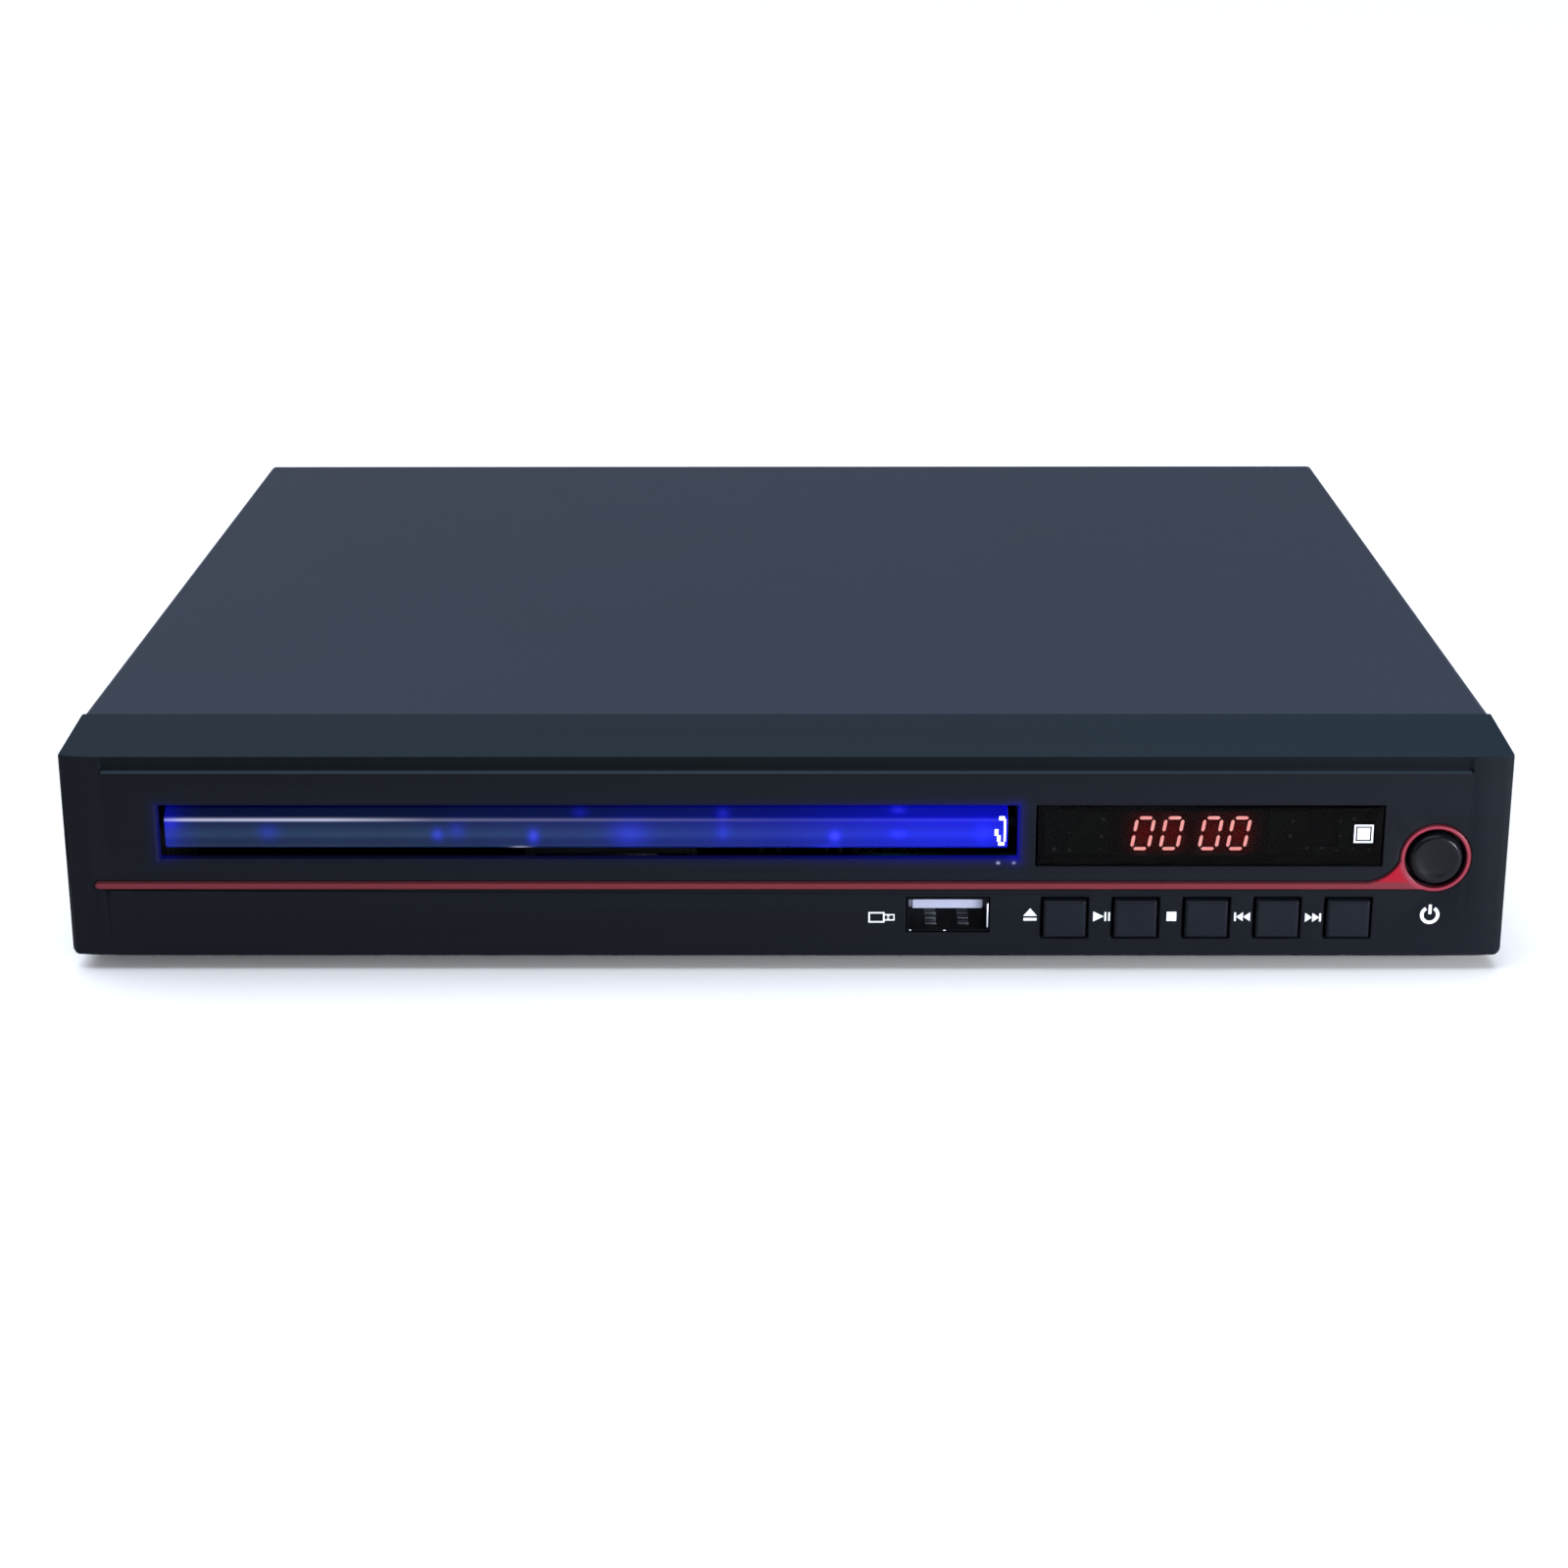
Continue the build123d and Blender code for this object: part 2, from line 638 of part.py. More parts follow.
with BuildPart() as drive_gear:
    with BuildSketch(Plane(origin=(*drive_at, wheel_z[0]))):
        wheel_outline(wheel_teeth, fine_module, train_angle)
        Circle(drive_post + shaft_gap, mode=Mode.SUBTRACT)
    extrude(amount=wheel_z[1] - wheel_z[0])
    with BuildSketch(Plane(origin=(*drive_at, drive_pinion_z[0]))):
        wheel_outline(drive_teeth, drive_module)
        Circle(drive_post + shaft_gap, mode=Mode.SUBTRACT)
    extrude(amount=drive_pinion_z[1] - drive_pinion_z[0])
drive_gear.part.label = "drive_gear"
export_step(drive_gear.part, "parts/drive_gear.step")

with BuildPart() as pulley_gear:
    with BuildSketch(Plane(origin=(*pulley_at, pulley_pinion_z[0]))):
        wheel_outline(pinion_teeth, fine_module, train_angle + math.pi + math.pi / pinion_teeth)
        Circle(pulley_post + shaft_gap, mode=Mode.SUBTRACT)
    extrude(amount=pulley_pinion_z[1] - pulley_pinion_z[0])
    posts([pulley_at], pulley_rim, pulley_z)
    with BuildSketch(Plane(origin=(*pulley_at, groove_z[0]))):
        Circle(pulley_rim)
        Circle(pulley_groove, mode=Mode.SUBTRACT)
    extrude(amount=groove_z[1] - groove_z[0], mode=Mode.SUBTRACT)
    posts([pulley_at], pulley_post + shaft_gap, (pulley_pinion_z[0], pulley_z[1]), mode=Mode.SUBTRACT)
pulley_gear.part.label = "pulley_gear"
export_step(pulley_gear.part, "parts/pulley_gear.step")

with BuildPart() as motor_pulley:
    posts([motor_at], motor_shaft, (12.0, pulley_z[0]))
    posts([motor_at], motor_rim, pulley_z)
    with BuildSketch(Plane(origin=(*motor_at, groove_z[0]))):
        Circle(motor_rim)
        Circle(motor_groove, mode=Mode.SUBTRACT)
    extrude(amount=groove_z[1] - groove_z[0], mode=Mode.SUBTRACT)
motor_pulley.part.label = "motor_pulley"
export_step(motor_pulley.part, "parts/motor_pulley.step")


def belt_loop(extra, mode):
    """The belt's run round both pulleys, a given distance out from their grooves."""
    with BuildSketch(Plane.XY.offset(belt_z[0])) as loop:
        with Locations(pulley_at):
            Circle(pulley_groove + extra)
        with Locations(motor_at):
            Circle(motor_groove + extra)
        make_hull()
    extrude(loop.sketch, amount=belt_z[1] - belt_z[0], mode=mode)


with BuildPart() as drive_belt:
    belt_loop(belt_gap + belt_size, Mode.ADD)
    belt_loop(belt_gap, Mode.SUBTRACT)
drive_belt.part.label = "drive_belt"
export_step(drive_belt.part, "parts/drive_belt.step")

with BuildPart() as loading_motor:
    posts([motor_at], motor_radius, motor_z)
    chamfer(edges().group_by(Axis.Z)[0], length=0.8)
    posts([motor_at], 3.0, motor_plate_z)
    posts([motor_at], motor_shaft + shaft_gap, (11.8, motor_plate_z[1]), mode=Mode.SUBTRACT)
loading_motor.part.label = "loading_motor"
export_step(loading_motor.part, "parts/loading_motor.step")


# ---------------------------------------------------------------- traverse
# The traverse hinges at its back end and tilts the turntable up through the tray.
# It is drawn in its own plane, which lies on the hinge and is level when raised.
# Here it is lowered: its front hangs down by the tilt.

hinge_y = disc_y + hinge_behind_disc
lean = math.radians(tilt)
deck = Plane(
    origin=(disc_x, hinge_y, hinge_z),
    x_dir=(1, 0, 0),
    z_dir=(0, -math.sin(lean), math.cos(lean)),
)
spindle_y = -hinge_behind_disc
frame_span_x = (-34.0, 44.0)
frame_span_y = (-117.0, 4.0)
frame_span_z = (-0.5, 5.0)
frame_wall = 3.0
pin_radius = 1.25
pin_x = (-20.0, 12.0)
pin_z = 3.8
pin_reach = 3.9
trunnion_radius = 2.0
damper_places = [(x, y) for x in (-28.5, 36.5) for y in (-108.0, -14.0)]
damper_radius = 2.4
damper_z = (1.0, 3.0)
deck_z = (3.0, 4.0)
deck_x = (-30.4, 40.4)
deck_y = (-113.0, -7.0)
pickup_hole_x = (-26.0, 26.0)
pickup_hole_y = (-77.0, -12.0)
rod_x = 21.0
rod_z = 1.0
rod_radius = 1.5
spindle_radius = 12.0
spindle_z = (-1.4, 3.0)
feed_module = 0.5
feed_wheel_teeth = 24
feed_pinion_teeth = 10
rack_module = 0.6
rack_teeth = 12
feed_line = 30.0
feed_at = (feed_line + rack_module * rack_teeth / 2, -43.0)
feed_distance = feed_module * (feed_wheel_teeth + feed_pinion_teeth) / 2
feed_motor_at = (feed_at[0], feed_at[1] + feed_distance)
feed_post = 0.8
feed_shaft = 0.6
feed_wheel_z = (4.3, 5.2)
feed_rack_z = (5.6, 6.8)

with BuildPart(deck) as traverse_frame:
    block(frame_span_x, frame_span_y, frame_span_z)
    block(
        (frame_span_x[0] + frame_wall, frame_span_x[1] - frame_wall),
        (frame_span_y[0] + frame_wall, frame_span_y[1] - 6.0),
        (damper_z[0], frame_span_z[1] + 1),
        mode=Mode.SUBTRACT,
    )
    block((-26.0, 28.0), (-81.0, -8.4), (-2, 2), mode=Mode.SUBTRACT)
    posts([(0, spindle_y)], 14.0, (-2, 2), mode=Mode.SUBTRACT)
    posts([feed_motor_at], 8.5, (-2, 2), mode=Mode.SUBTRACT)
    with Locations([(x, frame_span_y[0] - pin_reach / 2, pin_z) for x in pin_x]):
        Cylinder(pin_radius, pin_reach, rotation=(90, 0, 0))
    for x in (frame_span_x[0] - 2.5, frame_span_x[1] + 2.5):
        with Locations((x, 0, 0)):
            Cylinder(trunnion_radius, 5.0, rotation=(0, 90, 0))
traverse_frame.part.label = "traverse_frame"
export_step(traverse_frame.part, "parts/traverse_frame.step")

with BuildPart(deck) as deck_dampers:
    posts(damper_places, damper_radius, damper_z)
deck_dampers.part.label = "deck_dampers"
export_step(deck_dampers.part, "parts/deck_dampers.step")

with BuildPart(deck) as deck_plate:
    block(deck_x, deck_y, deck_z)
    block(pickup_hole_x, pickup_hole_y, (2, 5), mode=Mode.SUBTRACT)
    posts([(0, spindle_y)], 2.2, (2, 5), mode=Mode.SUBTRACT)
    posts([feed_motor_at], 1.6, (2, 5), mode=Mode.SUBTRACT)
    posts([feed_at], feed_post, (deck_z[1], feed_rack_z[1] + 0.2))
    for x in (-rod_x, rod_x):
        for y in ((pickup_hole_y[0] - 3, pickup_hole_y[0]), (pickup_hole_y[1], pickup_hole_y[1] + 3)):
            block((x - 3, x + 3), y, (rod_z - 2.5, deck_z[0]))
    with Locations([(x, sum(pickup_hole_y) / 2, rod_z) for x in (-rod_x, rod_x)]):
        Cylinder(rod_radius, 72, rotation=(90, 0, 0), mode=Mode.SUBTRACT)
deck_plate.part.label = "deck_plate"
export_step(deck_plate.part, "parts/deck_plate.step")

with BuildPart(deck) as guide_rods:
    with Locations([(x, sum(pickup_hole_y) / 2, rod_z) for x in (-rod_x, rod_x)]):
        Cylinder(rod_radius, pickup_hole_y[1] - pickup_hole_y[0] + 6, rotation=(90, 0, 0))
guide_rods.part.label = "guide_rods"
export_step(guide_rods.part, "parts/guide_rods.step")

spindle_shaft = 1.0
with BuildPart(deck) as spindle_motor:
    posts([(0, spindle_y)], spindle_radius, spindle_z)
    posts([(0, spindle_y)], 2.0, (spindle_z[1], 5.0))
    posts([(0, spindle_y)], spindle_shaft + shaft_gap, (0, 6), mode=Mode.SUBTRACT)
spindle_motor.part.label = "spindle_motor"
export_step(spindle_motor.part, "parts/spindle_motor.step")

# The turntable's rim is where the disc lies when the traverse is raised.
disc_plane = 10.5
with BuildPart(deck) as turntable:
    posts([(0, spindle_y)], spindle_shaft, (0.2, 8.6))
    posts([(0, spindle_y)], 14.4, (8.6, disc_plane))
    posts([(0, spindle_y)], 10.6, (9.6, disc_plane), mode=Mode.SUBTRACT)
    posts([(0, spindle_y)], 8.0, (9.6, disc_plane))
    with Locations((0, spindle_y, disc_plane + 0.75)):
        Cone(7.45, 5.6, 1.5)
turntable.part.label = "turntable"
export_step(turntable.part, "parts/turntable.step")

pickup_y = (-76.0, -48.0)
lens_y = spindle_y + 23.5
carriage_z = (-1.2, 5.4)
arm_y = (-72.0, -60.0)
arm_top = 6.4
wheel_clear = feed_at[0] - feed_module * (feed_wheel_teeth / 2 + tip_height) - 0.7
feed_rack_span = (-math.ceil(pickup_travel / (math.pi * rack_module)), 2)
with BuildPart(deck) as pickup_body:
    block((-17.0, 17.0), pickup_y, carriage_z)
    block((-24.0, 24.0), (pickup_y[0] + 3, pickup_y[1] - 3), (-1.2, 3.4))
    with BuildSketch(deck.offset(feed_rack_z[0] - 0.2)):
        rack_outline(feed_line, feed_line - 5.0, feed_at[1], feed_rack_span, rack_module)
    extrude(amount=feed_rack_z[1] - feed_rack_z[0] + 0.2)
    block((12.0, wheel_clear), arm_y, (4.3, arm_top))
    block((wheel_clear, feed_line - 2), arm_y, (carriage_z[1], arm_top))
    posts([(0, spindle_y)], 16.5, (-2, 8), mode=Mode.SUBTRACT)
    with Locations([(x, sum(pickup_y) / 2, rod_z) for x in (-rod_x, rod_x)]):
        Cylinder(rod_radius + shaft_gap, 60, rotation=(90, 0, 0), mode=Mode.SUBTRACT)
pickup_body.part.label = "pickup_body"
export_step(pickup_body.part, "parts/pickup_body.step")

lens_radius = 2.3
holder_z = (6.4, 8.2)
with BuildPart(deck) as lens_holder:
    block((-5.5, 5.5), (lens_y - 5.0, lens_y + 5.0), holder_z)
    chamfer(edges().group_by(Axis((0, 0, 0), deck.z_dir))[-1], length=0.4)
    posts([(0, lens_y)], lens_radius, (6, 9), mode=Mode.SUBTRACT)
lens_holder.part.label = "lens_holder"
export_step(lens_holder.part, "parts/lens_holder.step")

with BuildPart(deck) as lens:
    posts([(0, lens_y)], lens_radius, (holder_z[0] + 0.4, holder_z[1]))
    with Locations((0, lens_y, holder_z[1])):
        Cone(lens_radius, 1.2, 0.7, align=(Align.CENTER, Align.CENTER, Align.MIN))
lens.part.label = "lens"
export_step(lens.part, "parts/lens.step")

with BuildPart(deck) as feed_motor:
    posts([feed_motor_at], 7.0, (-2.4, deck_z[0]))
    posts([feed_motor_at], 1.5, deck_z)
    posts([feed_motor_at], feed_shaft + shaft_gap, (0, 5), mode=Mode.SUBTRACT)
feed_motor.part.label = "feed_motor"
export_step(feed_motor.part, "parts/feed_motor.step")


def deck_wheel(at, z, teeth, module, turn, bore):
    """A toothed wheel on the traverse's deck, with a bore where one is given."""
    origin = deck.from_local_coords(Vector(*at, z[0]))
    with BuildSketch(Plane(origin=origin, x_dir=deck.x_dir, z_dir=deck.z_dir)) as wheel:
        wheel_outline(teeth, module, turn)
        if bore:
            Circle(bore, mode=Mode.SUBTRACT)
    extrude(wheel.sketch, amount=z[1] - z[0])


with BuildPart() as feed_gear:
    bore = feed_post + shaft_gap
    deck_wheel(feed_at, feed_wheel_z, feed_wheel_teeth, feed_module, math.pi / 2, bore)
    deck_wheel(feed_at, (feed_wheel_z[1], feed_rack_z[1]), rack_teeth, rack_module, math.pi, bore)
feed_gear.part.label = "feed_gear"
export_step(feed_gear.part, "parts/feed_gear.step")

with BuildPart(deck) as feed_pinion:
    posts([feed_motor_at], feed_shaft, (0.2, feed_wheel_z[0]))
    turn = -math.pi / 2 + math.pi / feed_pinion_teeth
    pinion_z = (feed_wheel_z[0], feed_wheel_z[1] + 0.4)
    deck_wheel(feed_motor_at, pinion_z, feed_pinion_teeth, feed_module, turn, 0)
feed_pinion.part.label = "feed_pinion"
export_step(feed_pinion.part, "parts/feed_pinion.step")


# ---------------------------------------------------------------- cam slider
# It slides to the right, and its two sloping slots lift the pins of the traverse.

slider_travel = 18.0
slider_y = (face + 41.0, face + 43.6)
slider_z = (7.7, 20.9)
slider_ends = (3.2, 2.8)
pin_arm = frame_span_y[0] - pin_reach * 0.6
pin_low = hinge_z + pin_arm * math.sin(lean) + pin_z * math.cos(lean)
pin_high = hinge_z + pin_z
slot_gap = 0.4

with BuildPart() as cam_slider:
    left = disc_x + pin_x[0] - slider_travel - slider_ends[0]
    right = disc_x + pin_x[1] + slider_ends[1]
    block((left, right), slider_y, slider_z)
    with BuildSketch(facing(slider_y[1])):
        for x in pin_x:
            start = (disc_x + x, pin_low)
            finish = (disc_x + x - slider_travel, pin_high)
            with Locations(((start[0] + finish[0]) / 2, (start[1] + finish[1]) / 2)):
                SlotOverall(
                    math.hypot(slider_travel, pin_high - pin_low) + 2 * (pin_radius + slot_gap),
                    2 * (pin_radius + slot_gap),
                    rotation=math.degrees(math.atan2(pin_low - pin_high, slider_travel)),
                )
    extrude(amount=slider_y[1] - slider_y[0], mode=Mode.SUBTRACT)
cam_slider.part.label = "cam_slider"
export_step(cam_slider.part, "parts/cam_slider.step")


# ---------------------------------------------------------------- loader frame, clamp bridge and clamper

loader_x = (-103.0, 39.0)
loader_y = (face + 14.0, face + 174.0)
loader_wall = 1.5
loader_floor = (loader_z, loader_z + 1.6)
wall_top = 28.5
rib_z = (19.4, 21.2)
tab_z = (26.8, wall_top)
tab_ys = [face + 16, face + 100, face + 150]
tab_length = 14.0
pad_y = [disc_y - 16.0, disc_y + 16.0]
bracket_y = (hinge_y - 4.0, hinge_y + 4.0)
window_left = disc_x + frame_span_x[0] - 1.0
window_right = disc_x + frame_span_x[1] + 1.0

with BuildPart() as loader_frame:
    block(loader_x, loader_y, (loader_z, wall_top))
    block(
        (loader_x[0] + loader_wall, loader_x[1] - loader_wall),
        (loader_y[0] - 1, loader_y[1] - loader_wall),
        (loader_floor[1], wall_top + 1),
        mode=Mode.SUBTRACT,
    )
    block(
        (window_left, window_right),
        (slider_y[1] + 0.6, hinge_y + 6.5),
        (loader_z - 1, loader_floor[1] + 1),
        mode=Mode.SUBTRACT,
    )
    for x in (
        (loader_x[0] + loader_wall, tray_x[0] + 1.2),
        (tray_x[1] - 1.2, loader_x[1] - loader_wall),
    ):
        block(x, (loader_y[0], loader_y[1] - loader_wall), rib_z)
        for y in tab_ys:
            block(x, (y, y + tab_length), tab_z)
    for x in ((loader_x[0] + loader_wall, tray_x[0] - 1.2), (tray_x[1] + 1.2, loader_x[1] - loader_wall)):
        for y in pad_y:
            block(x, (y - 4, y + 4), (rib_z[1], wall_top))
    block((-76.0, 2.0), (face + 39.5, face + 40.6), (loader_floor[1], 18.0))
    for x in ((window_left - 4.0, window_left), (window_right, window_right + 4.0)):
        block(x, bracket_y, (loader_floor[1], hinge_z + 4.5))
    with Locations((disc_x, hinge_y, hinge_z)):
        Cylinder(trunnion_radius + shaft_gap, 120, rotation=(0, 90, 0), mode=Mode.SUBTRACT)
    posts([motor_at], motor_radius + 0.3, (loader_z, loader_floor[1]), mode=Mode.SUBTRACT)
    motor_box = (motor_at[0] - 14.0, motor_at[0] + 14.0)
    block(motor_box, (motor_at[1] - 12.4, motor_at[1] + 13.0), motor_plate_z)
    for x in ((motor_box[0], motor_box[0] + 1.4), (motor_box[1] - 1.4, motor_box[1])):
        block(x, (motor_at[1] - 12.4, motor_at[1] + 13.0), (loader_floor[1], motor_plate_z[1]))
    posts([motor_at], 3.2, (motor_plate_z[0] - 1, motor_plate_z[1] + 1), mode=Mode.SUBTRACT)
    posts([drive_at], 3.4, (loader_floor[1], wheel_z[0] - 0.3))
    posts([drive_at], drive_post, (loader_floor[1], drive_pinion_z[1] - 0.2))
    posts([pulley_at], 2.6, (loader_floor[1], pulley_pinion_z[0] - 0.3))
    posts([pulley_at], pulley_post, (loader_floor[1], pulley_z[1] + 0.3))
    posts(loader_corners, 1.5, (loader_z - 1, loader_floor[1] + 1), mode=Mode.SUBTRACT)
loader_frame.part.label = "loader_frame"
export_step(loader_frame.part, "parts/loader_frame.step")

bridge_z = (wall_top, wall_top + 1.5)
clamp_hole = 13.2
with BuildPart() as clamp_bridge:
    block(loader_x, (disc_y - 20.0, disc_y + 20.0), bridge_z)
    posts([(disc_x, disc_y)], 19.0, (bridge_z[0], bridge_z[1] + 0.8))
    posts([(disc_x, disc_y)], 16.4, (bridge_z[1], bridge_z[1] + 2), mode=Mode.SUBTRACT)
    posts([(disc_x, disc_y)], clamp_hole, (bridge_z[0] - 1, bridge_z[1] + 1), mode=Mode.SUBTRACT)
    with BuildSketch(Plane.XY.offset(bridge_z[0])):
        for x in (disc_x - 43.0, disc_x + 43.0):
            with Locations((x, disc_y)):
                Rectangle(34, 26)
    extrude(amount=bridge_z[1] - bridge_z[0], mode=Mode.SUBTRACT)
clamp_bridge.part.label = "clamp_bridge"
export_step(clamp_bridge.part, "parts/clamp_bridge.step")

with BuildPart() as clamper:
    posts([(disc_x, disc_y)], clamp_hole - 0.6, (27.8, bridge_z[1] + 0.4))
    posts([(disc_x, disc_y)], 15.6, (bridge_z[1] + 0.4, bridge_z[1] + 1.6))
    posts([(disc_x, disc_y)], 9.0, (bridge_z[1] + 1.6, bridge_z[1] + 3.2))
    posts([(disc_x, disc_y)], 6.4, (27.0, 29.2), mode=Mode.SUBTRACT)
clamper.part.label = "clamper"
export_step(clamper.part, "parts/clamper.step")


# ---------------------------------------------------------------- boards at the right

with BuildPart() as main_board:
    block(main_x, main_y, board_z)
    posts(main_corners, 1.3, (board_z[0] - 1, board_z[1] + 1), mode=Mode.SUBTRACT)
main_board.part.label = "main_board"
export_step(main_board.part, "parts/main_board.step")

board_top = board_z[1]
chip_spans = [
    ((52.0, 68.0), (face + 104, face + 120), 1.6),
    ((72.0, 82.0), (face + 108, face + 116), 1.2),
    ((50.0, 58.0), (face + 86, face + 92), 1.5),
    ((64.0, 72.0), (face + 86, face + 96), 1.2),
    ((48.0, 53.0), (face + 140, face + 146), 1.5),
]
with BuildPart() as main_chips:
    for x, y, tall in chip_spans:
        block(x, y, (board_top, board_top + tall))
main_chips.part.label = "main_chips"
export_step(main_chips.part, "parts/main_chips.step")

sink_x, sink_y, chip_tall = chip_spans[0]
sink_base = board_top + chip_tall
with BuildPart() as heat_sink:
    block(sink_x, sink_y, (sink_base, sink_base + 8.0))
    with BuildSketch(facing(sink_y[1])):
        with Locations((sum(sink_x) / 2, sink_base + 5.0)):
            with GridLocations(2.7, 1, 5, 1):
                Rectangle(1.6, 6.2)
    extrude(amount=sink_y[1] - sink_y[0], mode=Mode.SUBTRACT)
heat_sink.part.label = "heat_sink"
export_step(heat_sink.part, "parts/heat_sink.step")

small_cans = [(46.0, face + 79), (54.0, face + 79), (80.5, face + 100)]
small_cans += [(x, face + 130) for x in (60.0, 68.0, 80.0)] + [(80.0, face + 146)]
with BuildPart() as main_capacitors:
    posts(small_cans, 3.15, (board_top, board_top + 11))
    chamfer(edges().group_by(Axis.Z)[-1], length=0.4)
main_capacitors.part.label = "main_capacitors"
export_step(main_capacitors.part, "parts/main_capacitors.step")

flat_plug = ((46.0, 60.0), (main_y[0] + 8.0, main_y[0] + 13.0), (board_top, board_top + 4.5))
wire_plug = ((68.0, 80.0), (main_y[0] + 8.0, main_y[0] + 13.0), (board_top, board_top + 6.0))
power_plug = ((95.0, 106.0), (power_y[0] + 7.5, power_y[0] + 12.5), (board_top, board_top + 6.0))
front_plug = ((46.0, 60.0), (board_back, board_back + 3.0), (14.0, 18.6))
with BuildPart() as board_connectors:
    for spans in (flat_plug, wire_plug, power_plug, front_plug):
        block(*spans)
board_connectors.part.label = "board_connectors"
export_step(board_connectors.part, "parts/board_connectors.step")

with BuildPart() as power_board:
    block(power_x, power_y, board_z)
    posts(power_corners, 1.3, (board_z[0] - 1, board_z[1] + 1), mode=Mode.SUBTRACT)
power_board.part.label = "power_board"
export_step(power_board.part, "parts/power_board.step")

core_x = (91.0, 107.5)
core_y = (face + 84, face + 102)
with BuildPart() as transformer:
    block(core_x, core_y, (board_top, board_top + 3.0))
    winding = ((core_x[0] + 1, core_x[1] - 1), (core_y[0] + 1, core_y[1] - 1))
    block(*winding, (board_top + 3.0, board_top + 13.0))
    block(core_x, (core_y[0] + 5.5, core_y[1] - 5.5), (board_top + 3.0, board_top + 16.0))
    block(core_x, core_y, (board_top + 13.0, board_top + 14.0))
transformer.part.label = "transformer"
export_step(transformer.part, "parts/transformer.step")

with BuildPart() as power_capacitors:
    posts([(99.2, face + 122)], 6.25, (board_top, board_top + 20))
    posts([(x, face + y) for x in (94.5, 104.5) for y in (50, 62)], 4.0, (board_top, 22.5))
    chamfer(edges().group_by(Axis.Z)[-1], length=0.5)
power_capacitors.part.label = "power_capacitors"
export_step(power_capacitors.part, "parts/power_capacitors.step")

ribbon = 0.3
with BuildPart() as front_ribbon:
    with BuildSketch(Plane.YZ.offset(47.0)):
        course = [
            (front_plug[1][1], 16.2),
            (face + 30, 14.0),
            (main_y[0] - 10, 15.5),
            (flat_plug[1][0], board_top + 2.6),
        ]
        with BuildLine():
            lower = Spline(*course, tangents=[(1, 0), (1, -0.6)])
            upper = Spline(*[(y, z + ribbon) for y, z in course], tangents=[(1, 0), (1, -0.6)])
            Line(lower @ 0, upper @ 0)
            Line(lower @ 1, upper @ 1)
        make_face()
    extrude(amount=12.0)
front_ribbon.part.label = "front_ribbon"
export_step(front_ribbon.part, "parts/front_ribbon.step")

wire_radius = 0.55
wire_pitch = 2.2
wire_z = board_top + 3.0
with BuildPart() as power_wires:
    for i in range(4):
        leave = power_plug[0][0] + 2.2 + wire_pitch * i
        arrive = wire_plug[0][1] - 2.7 - wire_pitch * i
        across = face + 24 - wire_pitch * i
        with BuildLine():
            FilletPolyline(
                (leave, power_plug[1][0], wire_z),
                (leave, across, wire_z),
                (arrive, across, wire_z),
                (arrive, wire_plug[1][0], wire_z),
                radius=4.5,
            )
        with BuildSketch(facing(power_plug[1][0])):
            with Locations((leave, wire_z)):
                Circle(wire_radius)
        sweep()
power_wires.part.label = "power_wires"
export_step(power_wires.part, "parts/power_wires.step")


# ---------------------------------------------------------------- sockets in the back

inlet_y = (case_back - 24.0, back_y[0])
inlet_pin_x = 4.3
with BuildPart() as mains_inlet:
    block((inlet_x - 9.0, inlet_x + 9.0), inlet_y, (board_top, inlet_z + 7.0))
    block((inlet_x - 8.8, inlet_x + 8.8), (inlet_y[1], case_back - 0.2), (inlet_z - 5.3, inlet_z + 5.3))
    with BuildSketch(facing(inlet_y[0] + 9.0)):
        with Locations((inlet_x - 3.9, inlet_z), (inlet_x + 3.9, inlet_z)):
            Circle(4.2)
        with Locations((inlet_x, inlet_z)):
            Rectangle(7.8, 6.4)
    extrude(amount=-20.0, mode=Mode.SUBTRACT)
    with Locations([(inlet_x + x, inlet_y[0] + 14.0, inlet_z) for x in (-inlet_pin_x, inlet_pin_x)]):
        Cylinder(1.2, 12.0, rotation=(90, 0, 0))
mains_inlet.part.label = "mains_inlet"
export_step(mains_inlet.part, "parts/mains_inlet.step")

jack_end = case_back + jack_proud
with BuildPart() as av_jack_block:
    block((jack_x[0] - 6.0, jack_x[1] + 6.0), (case_back - 14.0, back_y[0]), (board_top, jack_z[1] + 6.0))
    for x, z in jack_places:
        with Locations((x, (back_y[0] + jack_end - 0.4) / 2, z)):
            Cylinder(jack_radius - jack_wall, jack_end - 0.4 - back_y[0], rotation=(90, 0, 0))
        with Locations((x, jack_end - 4.5, z)):
            Cylinder(1.6, 9.0, rotation=(90, 0, 0), mode=Mode.SUBTRACT)
av_jack_block.part.label = "av_jack_block"
export_step(av_jack_block.part, "parts/av_jack_block.step")

with BuildPart() as av_jack_shells:
    with BuildSketch(facing(jack_end)):
        with Locations(jack_places):
            Circle(jack_radius)
            Circle(jack_radius - jack_wall, mode=Mode.SUBTRACT)
    extrude(amount=jack_end - back_y[1])
av_jack_shells.part.label = "av_jack_shells"
export_step(av_jack_shells.part, "parts/av_jack_shells.step")

